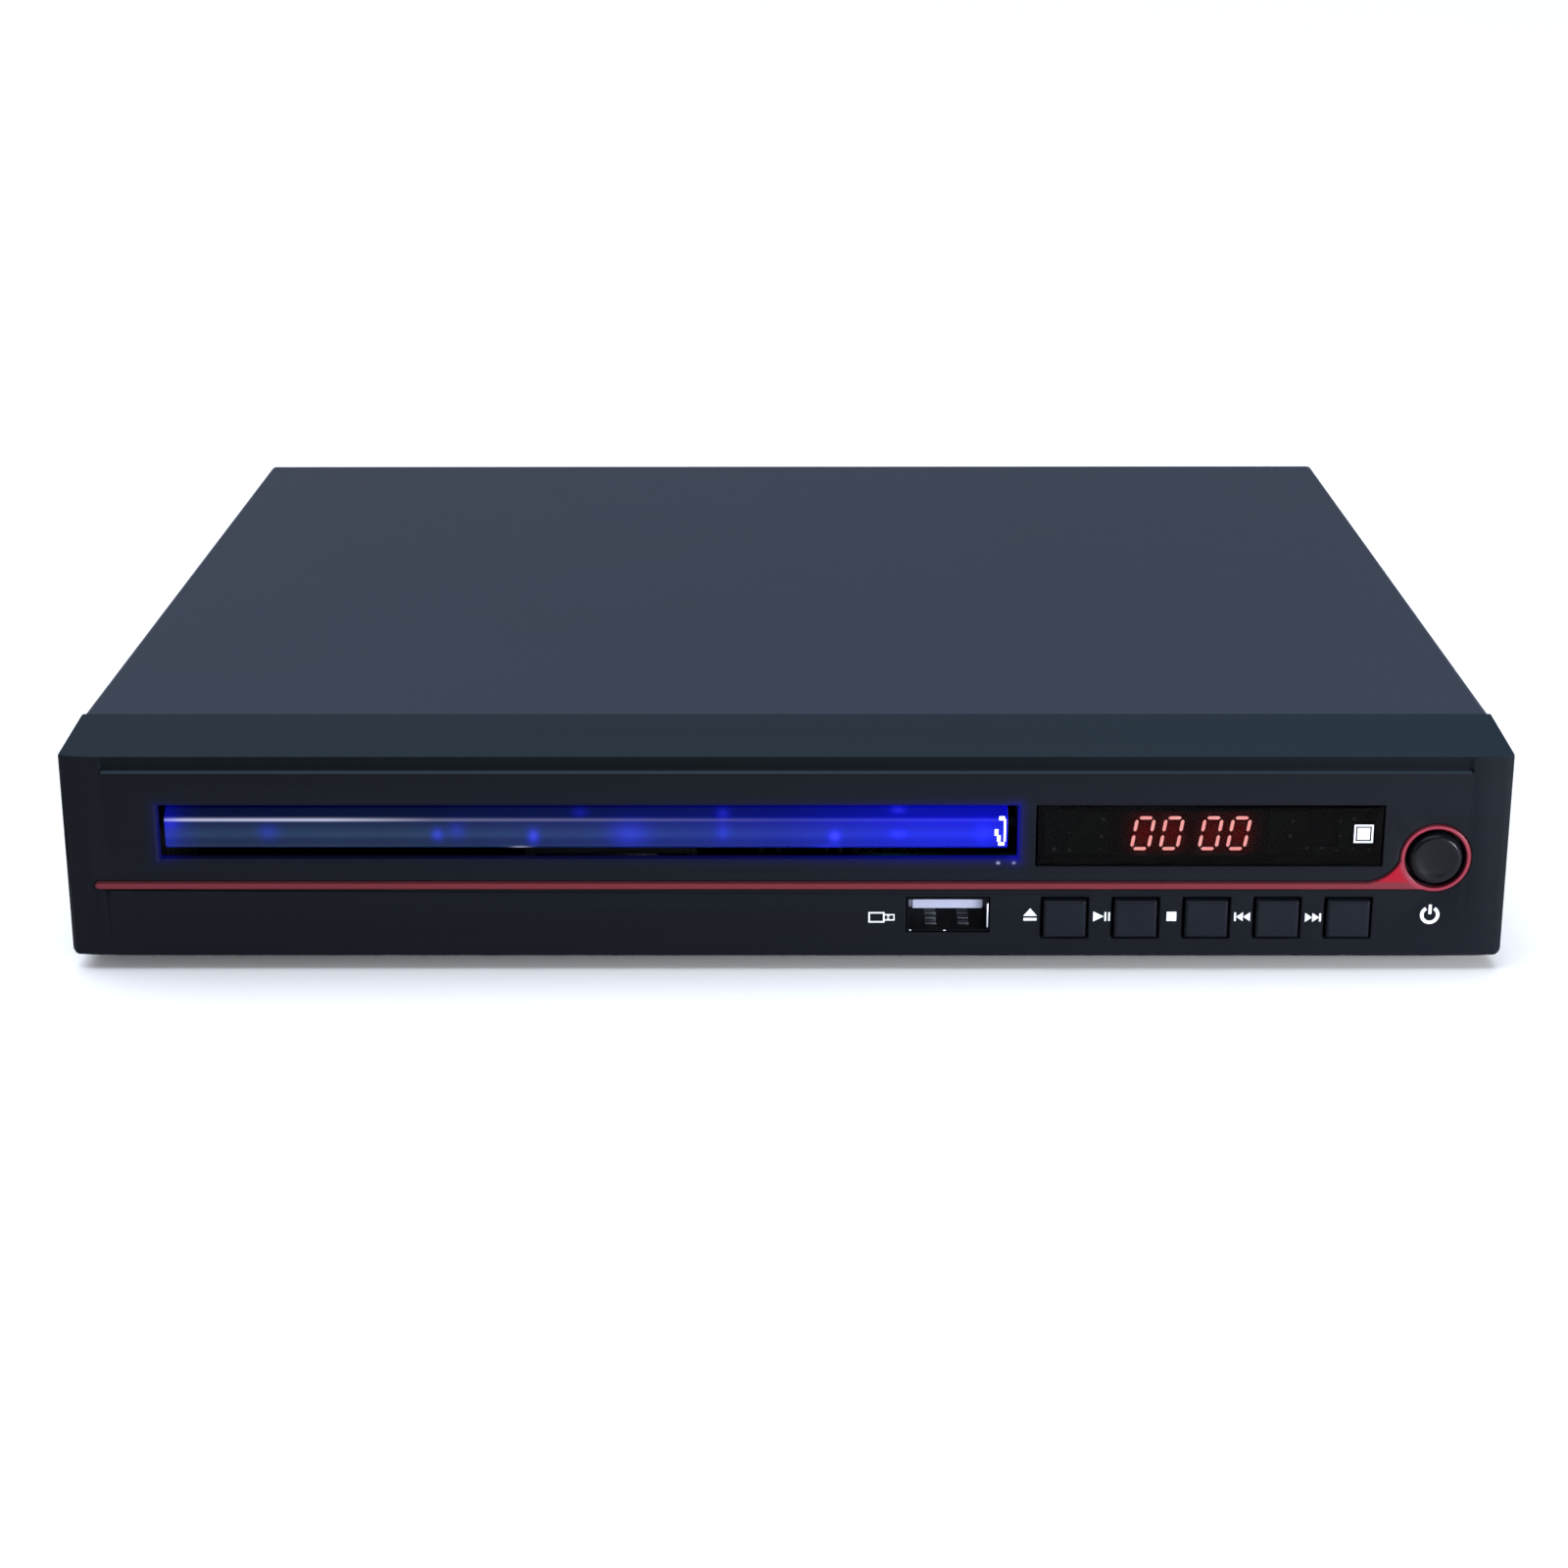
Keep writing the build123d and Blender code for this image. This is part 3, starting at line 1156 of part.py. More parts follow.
hdmi_y = (case_back - 11.6, case_back + 0.2)
with BuildPart() as hdmi_socket:
    with BuildSketch(facing(hdmi_y[1])):
        with Locations((hdmi_x, hdmi_z)):
            Rectangle(15.0, 5.6)
    extrude(amount=hdmi_y[1] - hdmi_y[0])
    with BuildSketch(facing(hdmi_y[1])):
        with BuildLine():
            Polyline(
                (hdmi_x - 7.0, hdmi_z + 2.3),
                (hdmi_x + 7.0, hdmi_z + 2.3),
                (hdmi_x + 7.0, hdmi_z - 0.4),
                (hdmi_x + 5.4, hdmi_z - 2.2),
                (hdmi_x - 5.4, hdmi_z - 2.2),
                (hdmi_x - 7.0, hdmi_z - 0.4),
                close=True,
            )
        make_face()
    extrude(amount=9.6, mode=Mode.SUBTRACT)
    block((hdmi_x - 5.6, hdmi_x + 5.6), (hdmi_y[0] + 2, hdmi_y[1] - 2.4), (hdmi_z - 0.1, hdmi_z + 1.0))
    block((hdmi_x - 5.0, hdmi_x + 5.0), (hdmi_y[0] + 1, hdmi_y[0] + 3), (board_top, hdmi_z - 2.5))
hdmi_socket.part.label = "hdmi_socket"
export_step(hdmi_socket.part, "parts/hdmi_socket.step")
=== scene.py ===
import json
import math

import bmesh
import bpy
from mathutils import Matrix, Vector

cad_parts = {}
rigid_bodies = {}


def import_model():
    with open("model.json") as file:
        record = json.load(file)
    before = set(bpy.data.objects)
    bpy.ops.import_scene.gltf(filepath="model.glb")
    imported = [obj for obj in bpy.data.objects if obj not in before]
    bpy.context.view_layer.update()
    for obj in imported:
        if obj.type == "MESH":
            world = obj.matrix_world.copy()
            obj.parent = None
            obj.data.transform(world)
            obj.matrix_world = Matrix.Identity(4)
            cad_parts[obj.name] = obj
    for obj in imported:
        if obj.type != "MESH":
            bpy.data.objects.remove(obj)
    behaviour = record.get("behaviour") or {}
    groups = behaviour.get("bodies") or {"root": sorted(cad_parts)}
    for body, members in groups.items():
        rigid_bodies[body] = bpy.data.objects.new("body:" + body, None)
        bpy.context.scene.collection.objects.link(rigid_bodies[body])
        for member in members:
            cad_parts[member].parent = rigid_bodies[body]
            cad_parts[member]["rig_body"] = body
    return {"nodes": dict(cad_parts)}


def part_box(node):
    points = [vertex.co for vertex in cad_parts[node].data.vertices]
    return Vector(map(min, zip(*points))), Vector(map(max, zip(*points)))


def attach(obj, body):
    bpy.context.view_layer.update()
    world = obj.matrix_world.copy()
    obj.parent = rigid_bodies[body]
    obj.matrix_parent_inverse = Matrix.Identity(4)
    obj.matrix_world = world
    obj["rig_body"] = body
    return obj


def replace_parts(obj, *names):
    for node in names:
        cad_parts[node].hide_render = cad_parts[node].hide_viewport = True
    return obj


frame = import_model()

for spare in [thing for thing in bpy.data.objects if thing.name in ("Cube", "Light", "Camera")]:
    bpy.data.objects.remove(spare)
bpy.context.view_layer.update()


# ---------------------------------------------------------------- table, lamps and camera
# The player stands on a white laminate table under a wide bluish silk, in a dim
# room bright only at the horizon, with weak boxes in front and at the left and a
# small one near and low at the right. The camera is 55 cm in front and 18 cm up.

def linear(code):
    """An sRGB hex colour as the linear colour that a socket takes."""
    parts = [int(code[i:i + 2], 16) / 255 for i in (1, 3, 5)]
    return (*(p / 12.92 if p <= 0.04045 else ((p + 0.055) / 1.055) ** 2.4 for p in parts), 1.0)


def put(tree, kind, inputs=None, **settings):
    """Adds one node with its settings; an input is a value, or another node's output to link."""
    made = tree.nodes.new(kind)
    for name, value in settings.items():
        setattr(made, name, value)
    for name, value in (inputs or {}).items():
        if isinstance(value, bpy.types.NodeSocket):
            tree.links.new(value, made.inputs[name])
        else:
            made.inputs[name].default_value = value
    return made


def new_finish(name, surface):
    """A material with one shader set up; returns it, its tree, the shader and the place on the object."""
    paint = bpy.data.materials.new(name)
    paint.use_nodes = True
    tree = paint.node_tree
    tree.nodes.clear()
    shader = put(tree, "ShaderNodeBsdfPrincipled", surface)
    put(tree, "ShaderNodeOutputMaterial", {"Surface": shader.outputs[0]})
    place = put(tree, "ShaderNodeTexCoord").outputs["Object"]
    return paint, tree, shader, place


def link(tree, source, target):
    tree.links.new(source, target)


def coats(tree, under, *layers):
    """Lays colours over one another; each layer is a mask and the colour that shows where the mask is one."""
    for mask, over in layers:
        below, above = (linear(c) if isinstance(c, str) else c for c in (under, over))
        under = put(tree, "ShaderNodeMix", {"Factor": mask, 6: below, 7: above}, data_type="RGBA").outputs[2]
    return under


def vary(tree, shader, pattern, colours=None, roughness=None, relief=None, socket="Base Color"):
    """Lets a pattern run a colour and a roughness between two values, and a relief of (strength, metres)."""
    if colours:
        link(tree, coats(tree, colours[0], (pattern, colours[1])), shader.inputs[socket])
    if roughness:
        dull = put(tree, "ShaderNodeMapRange", {"Value": pattern, "To Min": roughness[0], "To Max": roughness[1]})
        link(tree, dull.outputs[0], shader.inputs["Roughness"])
    if relief:
        bump = put(tree, "ShaderNodeBump", {"Height": pattern, "Strength": relief[0], "Distance": relief[1]})
        link(tree, bump.outputs[0], shader.inputs["Normal"])


def clouded(name, surface, noise, **look):
    """A finish whose colour, and its roughness and relief where it has them, follow one cloud of noise."""
    paint, tree, shader, place = new_finish(name, surface)
    cloud = put(tree, "ShaderNodeTexNoise", {"Vector": place, **noise})
    vary(tree, shader, cloud.outputs[0], **look)
    return paint


def table_laminate():
    """White melamine laminate: nearly even, with a faint cloudiness a hand's width across."""
    surface = {"Roughness": 0.6, "Specular IOR Level": 0.2}
    return clouded("white_laminate", surface, {"Scale": 9.0, "Detail": 3.0}, colours=("#fbf9f6", "#fdfbf8"))


floor_mesh = bpy.data.meshes.new("table")
floor_mesh.from_pydata([(-9, -6, 0), (9, -6, 0), (9, 14, 0), (-9, 14, 0)], [], [(0, 1, 2, 3)])
floor_mesh.materials.append(table_laminate())
table = bpy.data.objects.new("table", floor_mesh)
bpy.context.scene.collection.objects.link(table)

sky = bpy.data.worlds.new("studio")
bpy.context.scene.world = sky
sky.use_nodes = True
room = sky.node_tree
towards = put(room, "ShaderNodeSeparateXYZ", {"Vector": put(room, "ShaderNodeTexCoord").outputs["Generated"]})
height = put(
    room, "ShaderNodeMapRange",
    {"Value": towards.outputs["Z"], "From Min": 0.02, "From Max": 0.12, "To Min": 1.0, "To Max": 0.2},
)
room.nodes["Background"].inputs["Color"].default_value = linear("#e6edf8")
link(room, height.outputs[0], room.nodes["Background"].inputs["Strength"])


def add_lamp(kind, name, place, aim, power, colour):
    """A lamp that looks at a point."""
    lamp = bpy.data.lights.new(name, kind)
    lamp.energy = power
    lamp.color = linear(colour)[:3]
    holder = bpy.data.objects.new(name, lamp)
    bpy.context.scene.collection.objects.link(holder)
    holder.location = place
    holder.rotation_euler = (Vector(aim) - Vector(place)).to_track_quat("-Z", "Y").to_euler()
    return lamp


silk = add_lamp("SUN", "overhead_silk", (-0.35, 0.25, 1.5), (0, 0, 0), 3.9, "#e4ecfb")
silk.angle = math.radians(70)
for name, place, size, power in (
    ("front_box", (0.5, -1.5, 1.1), (0.9, 0.7), 3.0),
    ("left_box", (-1.6, -0.3, 0.9), (0.7, 0.9), 3.0),
    ("right_box", (0.42, -0.42, 0.09), (0.25, 0.12), 4.2),
):
    box = add_lamp("AREA", name, place, (0, -0.1, 0.02), power, "#f3f7ff")
    box.shape = "RECTANGLE"
    box.size, box.size_y = size

view = bpy.data.cameras.new("photo_camera")
view.sensor_fit = "HORIZONTAL"
view.sensor_width = 36.0
view.lens = 69.36
view.clip_start = 0.02
view.clip_end = 60.0
camera = bpy.data.objects.new("photo_camera", view)
bpy.context.scene.collection.objects.link(camera)
camera.matrix_world = (
    Matrix.Translation((0.00334, -0.55043, 0.18378))
    @ Matrix.Rotation(math.radians(0.444), 4, "Z")
    @ Matrix.Rotation(math.radians(71.404), 4, "X")
    @ Matrix.Rotation(math.radians(-0.14), 4, "Z")
)
bpy.context.scene.camera = camera
bpy.context.scene.view_settings.view_transform = "Standard"


# ---------------------------------------------------------------- top cover
# A sheet of 0.8 mm steel folded down both sides and over the back, and painted
# slate grey. The paint is baked on, so it has a fine, even, dimpled skin.

mm = 0.001


def add_piece(name, mesh, paint, body):
    """Puts a finished mesh in the scene with its material, riding on a body."""
    mesh.materials.clear()
    mesh.materials.append(paint)
    piece = bpy.data.objects.new(name, mesh)
    bpy.context.scene.collection.objects.link(piece)
    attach(piece, body)
    return piece


def plain_mesh(holder, name):
    """An object's mesh with its modifiers carried out; the object itself is taken away."""
    bpy.context.view_layer.update()
    evaluated = holder.evaluated_get(bpy.context.evaluated_depsgraph_get())
    mesh = bpy.data.meshes.new_from_object(evaluated)
    mesh.name = name
    holder.modifiers.clear()
    bpy.data.objects.remove(holder)
    return mesh


def finished_mesh(shape, name, sharpest, from_cad=False):
    """Turns a bmesh into a mesh that is shaded smooth up to an angle in degrees, without the CAD's own normals."""
    mesh = bpy.data.meshes.new(name)
    shape.to_mesh(mesh)
    shape.free()
    if from_cad:
        mesh.normals_split_custom_set([(0, 0, 0)] * len(mesh.loops))
    mesh.polygons.foreach_set("use_smooth", [True] * len(mesh.polygons))
    mesh.set_sharp_from_angle(angle=math.radians(sharpest))
    return mesh


def eased(node, edge, steps, sharpest, reshape):
    """A merged copy of a CAD node's mesh whose sharp edges are broken by a small round, after any reshaping."""
    shape = bmesh.new()
    shape.from_mesh(frame["nodes"][node].data)
    bmesh.ops.remove_doubles(shape, verts=shape.verts, dist=2e-6)
    bmesh.ops.dissolve_limit(shape, angle_limit=math.radians(0.6), verts=shape.verts, edges=shape.edges)
    if reshape:
        reshape(shape)
    mesh = finished_mesh(shape, node + "_eased", sharpest, from_cad=True)
    holder = bpy.data.objects.new(node + "_eased", mesh)
    bpy.context.scene.collection.objects.link(holder)
    soften = holder.modifiers.new("edges", "BEVEL")
    soften.width = edge * mm
    soften.segments = steps
    soften.limit_method = "ANGLE"
    soften.angle_limit = math.radians(sharpest)
    soften.use_clamp_overlap = False
    soften.harden_normals = True
    return plain_mesh(holder, node + "_eased")


def ease_node(node, edge, paint, steps=2, sharpest=28.0, reshape=None):
    """Replaces a CAD node by its copy with eased edges, on the same body."""
    mesh = eased(node, edge, steps, sharpest, reshape)
    piece = add_piece(node + "_eased", mesh, paint, frame["nodes"][node]["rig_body"])
    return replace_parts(piece, node)


def dress(node, paint):
    """Gives a CAD node whose shape is right its finish."""
    for holder in frame["nodes"][node].material_slots:
        holder.material = paint


def stoved_paint(name, low, high, roughness, specular):
    """Stoved enamel on sheet steel: satin, with a fine orange peel, and slightly cloudy over a palm's width."""
    paint, tree, shader, place = new_finish(name, {"Specular IOR Level": specular, "IOR": 1.5})
    # the peel is about 0.3 mm across on real enamel; it is drawn at 0.7 mm so that it shows
    peel = put(tree, "ShaderNodeTexNoise", {"Vector": place, "Scale": 1400.0, "Detail": 2.0, "Roughness": 0.5})
    cloud = put(tree, "ShaderNodeTexNoise", {"Vector": place, "Scale": 14.0, "Detail": 4.0, "Roughness": 0.6})
    fleck = put(
        tree, "ShaderNodeMapRange",
        {"Value": peel.outputs[0], "From Min": 0.62, "From Max": 0.8, "To Max": 0.22},
    )
    link(
        tree, coats(tree, low, (cloud.outputs[0], high), (fleck.outputs[0], "#4a5361")),
        shader.inputs["Base Color"],
    )
    vary(tree, shader, cloud.outputs[0], roughness=(roughness - 0.05, roughness + 0.06))
    vary(tree, shader, peel.outputs[0], relief=(0.16, 0.00006))
    return paint


cover_enamel = stoved_paint("slate_stoved_enamel", "#252b37", "#2a313e", 0.46, 0.14)
ease_node("top_cover", 0.18, cover_enamel)


# ---------------------------------------------------------------- cover, loader and board screws
# Pan-head steel screws with a cross recess: blackened on the cover, bright zinc
# inside. One head is modelled and set on every place where a screw goes in.

def screw_head(radius, height):
    """A pan head that looks up from the origin: a domed cap with a cross sunk into its top."""
    cap = bmesh.new()
    rings = []
    turns = 24
    for share, level in ((1.0, 0.0), (1.0, 0.45), (0.93, 0.72), (0.78, 0.9), (0.5, 1.0)):
        ring = []
        for step in range(turns):
            angle = 2 * math.pi * step / turns
            x, y = radius * share * math.cos(angle), radius * share * math.sin(angle)
            ring.append(cap.verts.new((x, y, height * level)))
        rings.append(ring)
    for lower, upper in zip(rings, rings[1:]):
        for step in range(turns):
            after = (step + 1) % turns
            cap.faces.new((lower[step], lower[after], upper[after], upper[step]))
    cap.faces.new(list(reversed(rings[0])))
    arm, half, deep = radius * 0.42, radius * 0.1, height * 0.45
    outline = []
    for quarter in range(4):
        turn = Matrix.Rotation(quarter * math.pi / 2, 4, "Z")
        outline += [turn @ Vector((*corner, height)) for corner in ((arm, -half), (arm, half), (half, half))]
    recess = [cap.verts.new(p) for p in outline]
    pit = [cap.verts.new((p.x * 0.62, p.y * 0.62, height - deep)) for p in outline]
    for step in range(len(outline)):
        after = (step + 1) % len(outline)
        cap.faces.new((recess[step], recess[after], pit[after], pit[step]))
    cap.faces.new(pit)
    top = rings[-1]
    for step in range(len(outline)):
        after = (step + 1) % len(outline)
        first, last = (2 * step - 1) % turns, (2 * step + 1) % turns
        cap.faces.new((top[first], top[(first + 1) % turns], top[last], recess[after], recess[step]))
    bmesh.ops.recalc_face_normals(cap, faces=cap.faces)
    return finished_mesh(cap, "screw_head", 35)


def set_screws(name, head, places, paint):
    """Geometry nodes that stand one head on every place, turned to its direction and by its own angle."""
    points = bpy.data.meshes.new(name + "_places")
    points.from_pydata([p for p, _, _ in places], [], [])
    outward = points.attributes.new("outward", "FLOAT_VECTOR", "POINT")
    outward.data.foreach_set("vector", [c for _, way, _ in places for c in way])
    turned = points.attributes.new("turned", "FLOAT", "POINT")
    turned.data.foreach_set("value", [angle for _, _, angle in places])
    source = bpy.data.objects.new(name + "_head", head)
    holder = bpy.data.objects.new(name, points)
    bpy.context.scene.collection.objects.link(holder)
    tree = bpy.data.node_groups.new(name, "GeometryNodeTree")
    tree.interface.new_socket("Places", in_out="INPUT", socket_type="NodeSocketGeometry")
    wanted = tree.interface.new_socket("Size", in_out="INPUT", socket_type="NodeSocketFloat")
    tree.interface.new_socket("Screws", in_out="OUTPUT", socket_type="NodeSocketGeometry")
    inlet = put(tree, "NodeGroupInput")
    way = put(tree, "GeometryNodeInputNamedAttribute", {"Name": "outward"}, data_type="FLOAT_VECTOR")
    angle = put(tree, "GeometryNodeInputNamedAttribute", {"Name": "turned"}, data_type="FLOAT")
    stand = put(tree, "FunctionNodeAlignRotationToVector", {"Vector": way.outputs[0]}, axis="Z")
    spin = put(tree, "ShaderNodeCombineXYZ", {"Z": angle.outputs[0]})
    both = put(
        tree, "FunctionNodeRotateRotation",
        {"Rotation": stand.outputs[0], "Rotate By": spin.outputs[0]},
        rotation_space="LOCAL",
    )
    info = put(tree, "GeometryNodeObjectInfo", {"Object": source})
    copies = put(
        tree, "GeometryNodeInstanceOnPoints",
        {
            "Points": inlet.outputs[0], "Instance": info.outputs["Geometry"],
            "Rotation": both.outputs[0], "Scale": inlet.outputs["Size"],
        },
    )
    real = put(tree, "GeometryNodeRealizeInstances", {"Geometry": copies.outputs[0]})
    coat = put(tree, "GeometryNodeSetMaterial", {"Geometry": real.outputs[0], "Material": paint})
    put(tree, "NodeGroupOutput", {0: coat.outputs[0]})
    stand_them = holder.modifiers.new("screws", "NODES")
    stand_them.node_group = tree
    stand_them[wanted.identifier] = 1.0
    mesh = plain_mesh(holder, name)
    bpy.data.objects.remove(source)
    for extra in ("outward", "turned"):
        if extra in mesh.attributes:
            mesh.attributes.remove(mesh.attributes[extra])
    return mesh


def screw_steel(name, colour, wear_and_light_fade, roughness):
    """Plated screw steel, mottled: paler and duller in patches where the driver has slipped."""
    noise = {"Scale": 900.0, "Detail": 3.0}
    return clouded(
        name, {"Metallic": 1.0}, noise, colours=(colour, wear_and_light_fade), roughness=(roughness, roughness + 0.2),
    )


black_oxide = screw_steel("black_oxide_screw_steel", "#17181a", "#3a3b3d", 0.35)
bright_zinc = screw_steel("bright_zinc_screw_steel", "#a9adb2", "#c9ccd0", 0.25)


def solids_of(node):
    """The lowest and highest corners of each separate solid of a CAD node."""
    shape = bmesh.new()
    shape.from_mesh(frame["nodes"][node].data)
    bmesh.ops.remove_doubles(shape, verts=shape.verts, dist=1e-6)
    left = set(shape.verts)
    found = []
    while left:
        queue = [left.pop()]
        group = list(queue)
        while queue:
            for edge in queue.pop().link_edges:
                for vert in edge.verts:
                    if vert in left:
                        left.discard(vert)
                        queue.append(vert)
                        group.append(vert)
        low = Vector([min(v.co[i] for v in group) for i in range(3)])
        high = Vector([max(v.co[i] for v in group) for i in range(3)])
        found.append((low, high))
    shape.free()
    return sorted(found, key=lambda box: tuple(round(c, 4) for c in box[0]))


def screw_row(node, radius, height, paint):
    """Replaces a CAD node of screws by modelled heads; a screw's long side says which way it goes in."""
    places = []
    for count, (low, high) in enumerate(solids_of(node)):
        middle = (low + high) / 2
        size = high - low
        if abs(size.x - size.y) < 1e-4:
            place, way = Vector((middle.x, middle.y, high.z - height)), (0, 0, 1)
        elif abs(size.x - size.z) < 1e-4:
            place, way = Vector((middle.x, high.y - height, middle.z)), (0, 1, 0)
        else:
            side = math.copysign(1, middle.x)
            edge = high.x if side > 0 else low.x
            place, way = Vector((edge - side * height, middle.y, middle.z)), (side, 0, 0)
        places.append((place, way, 0.7 * count))
    mesh = set_screws(node + "_heads", screw_head(radius, height), places, paint)
    piece = add_piece(node + "_heads", mesh, paint, frame["nodes"][node]["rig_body"])
    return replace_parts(piece, node)


screw_row("cover_screws", 2.95 * mm, 1.38 * mm, black_oxide)
screw_row("loader_screws", 2.85 * mm, 1.75 * mm, bright_zinc)
dress("board_screws", bright_zinc)


# ---------------------------------------------------------------- chassis, back plate and feet
# The pan and the back plate are pressed from zinc-coated sheet; the back plate is
# painted black. Four moulded rubber feet are pressed into the pan.

def zinc_sheet():
    """Galvanised sheet: a cool grey with faint spangle a few millimetres across and rolling lines."""
    paint, tree, shader, place = new_finish("zinc_coated_sheet", {"Metallic": 1.0})
    spangle = put(tree, "ShaderNodeTexVoronoi", {"Vector": place, "Scale": 260.0, "Randomness": 1.0})
    vary(tree, shader, spangle.outputs["Color"], colours=("#8b9094", "#a8adb1"))
    long = put(tree, "ShaderNodeMapping", {"Vector": place, "Scale": (30.0, 1600.0, 1600.0)})
    lines = put(tree, "ShaderNodeTexNoise", {"Vector": long.outputs[0], "Scale": 1.0, "Detail": 2.0})
    vary(tree, shader, lines.outputs[0], roughness=(0.3, 0.5), relief=(0.1, 0.00004))
    return paint


zinc_steel = zinc_sheet()
ease_node("bottom_chassis", 0.12, zinc_steel)
ease_node("rear_panel", 0.1, stoved_paint("black_stoved_enamel", "#14171c", "#191c22", 0.5, 0.14))


def rubber(name, colour, paler):
    """Moulded rubber: matt black with grey bloom where it has been handled."""
    surface = {"Roughness": 0.85, "Specular IOR Level": 0.3, "IOR": 1.52}
    return clouded(name, surface, {"Scale": 300.0, "Detail": 4.0}, colours=(colour, paler), relief=(0.3, 0.00005))


foot_rubber = rubber("black_moulded_rubber", "#131314", "#242526")
dress("feet", foot_rubber)


# ---------------------------------------------------------------- front panel
# One injection moulding in black ABS with a fine etched texture. A crease runs
# under its sloping top, and the blue light in the door colours the slot's walls.

slot_middle, slot_half = (-31.45 * mm, 0, 23.4 * mm), (68.45 * mm, 0, 4.5 * mm)
face_y, lip_z, lip_deep, lip_end, crease_z = -98.25, 34.0, 0.7, 107.9, 36.05


def carry(tree, value, *steps, kind="ShaderNodeMath"):
    """Takes a value through a row of Math or Vector Math steps, each an operation with its other numbers."""
    for operation, *others in steps:
        made = put(tree, kind, dict(enumerate([value, *others])), operation=operation)
        value = made.outputs["Value" if operation == "LENGTH" else 0]
    return value


def within(tree, at, **spans):
    """One inside a box and nought outside it; each span is an axis with its lowest and highest millimetre."""
    share = 1.0
    for axis, (low, high) in spans.items():
        middle, half = (low + high) / 2 * mm, (high - low) / 2 * mm
        share = carry(tree, at.outputs[axis], ("COMPARE", middle, half), ("MULTIPLY", share))
    return share


def levels(tree, value, low, high, stops):
    """A curve through (place, level) stops, as a smooth ramp of grey between two ends."""
    share = put(tree, "ShaderNodeMapRange", {"Value": value, "From Min": low * mm, "From Max": high * mm})
    ramp = put(tree, "ShaderNodeValToRGB", {"Fac": share.outputs[0]})
    points = ramp.color_ramp.elements
    for place, level in stops[2:]:
        points.new((place - low) / (high - low))
    for point, (place, level) in zip(points, sorted(stops)):
        point.position = (place - low) / (high - low)
        point.color = (level, level, level, 1)
    return ramp.outputs["Color"]


def along_door(tree, at):
    """The blue light's strength along the slot: bright by the lamp, faint at X = -60, caught at the left end."""
    return levels(tree, at.outputs["X"], -99.9, 37.0, [
        (-99.9, 0.45), (-98.0, 0.36), (-96.3, 0.17), (-93.0, 0.06), (-62.0, 0.055), (-46.0, 0.1), (-32.0, 0.13),
        (-15.0, 0.23), (0.0, 0.36), (13.0, 0.62), (23.0, 0.84), (34.5, 0.88), (36.5, 1.7),
    ])


def spots_of_light(tree, place, spots):
    """Soft spots, each an (x, z, half width, half height, strength) in millimetres."""
    total = 0.0
    for x, z, wide, tall, strength in spots:
        share = carry(
            tree, place, ("SUBTRACT", (x * mm, 0, z * mm)), ("MULTIPLY", (1 / (wide * mm), 0, 1 / (tall * mm))),
            kind="ShaderNodeVectorMath",
        )
        square = put(tree, "ShaderNodeVectorMath", {0: share, 1: share}, operation="DOT_PRODUCT")
        total = carry(
            tree, square.outputs["Value"], ("MULTIPLY", -1.0), ("EXPONENT",), ("MULTIPLY_ADD", strength, total),
        )
    return total


def shine(tree, colour, level, before=(0, 0, 0)):
    """Light of one colour, added to what shines already."""
    return carry(tree, linear(colour)[:3], ("MULTIPLY_ADD", level, before), kind="ShaderNodeVectorMath")


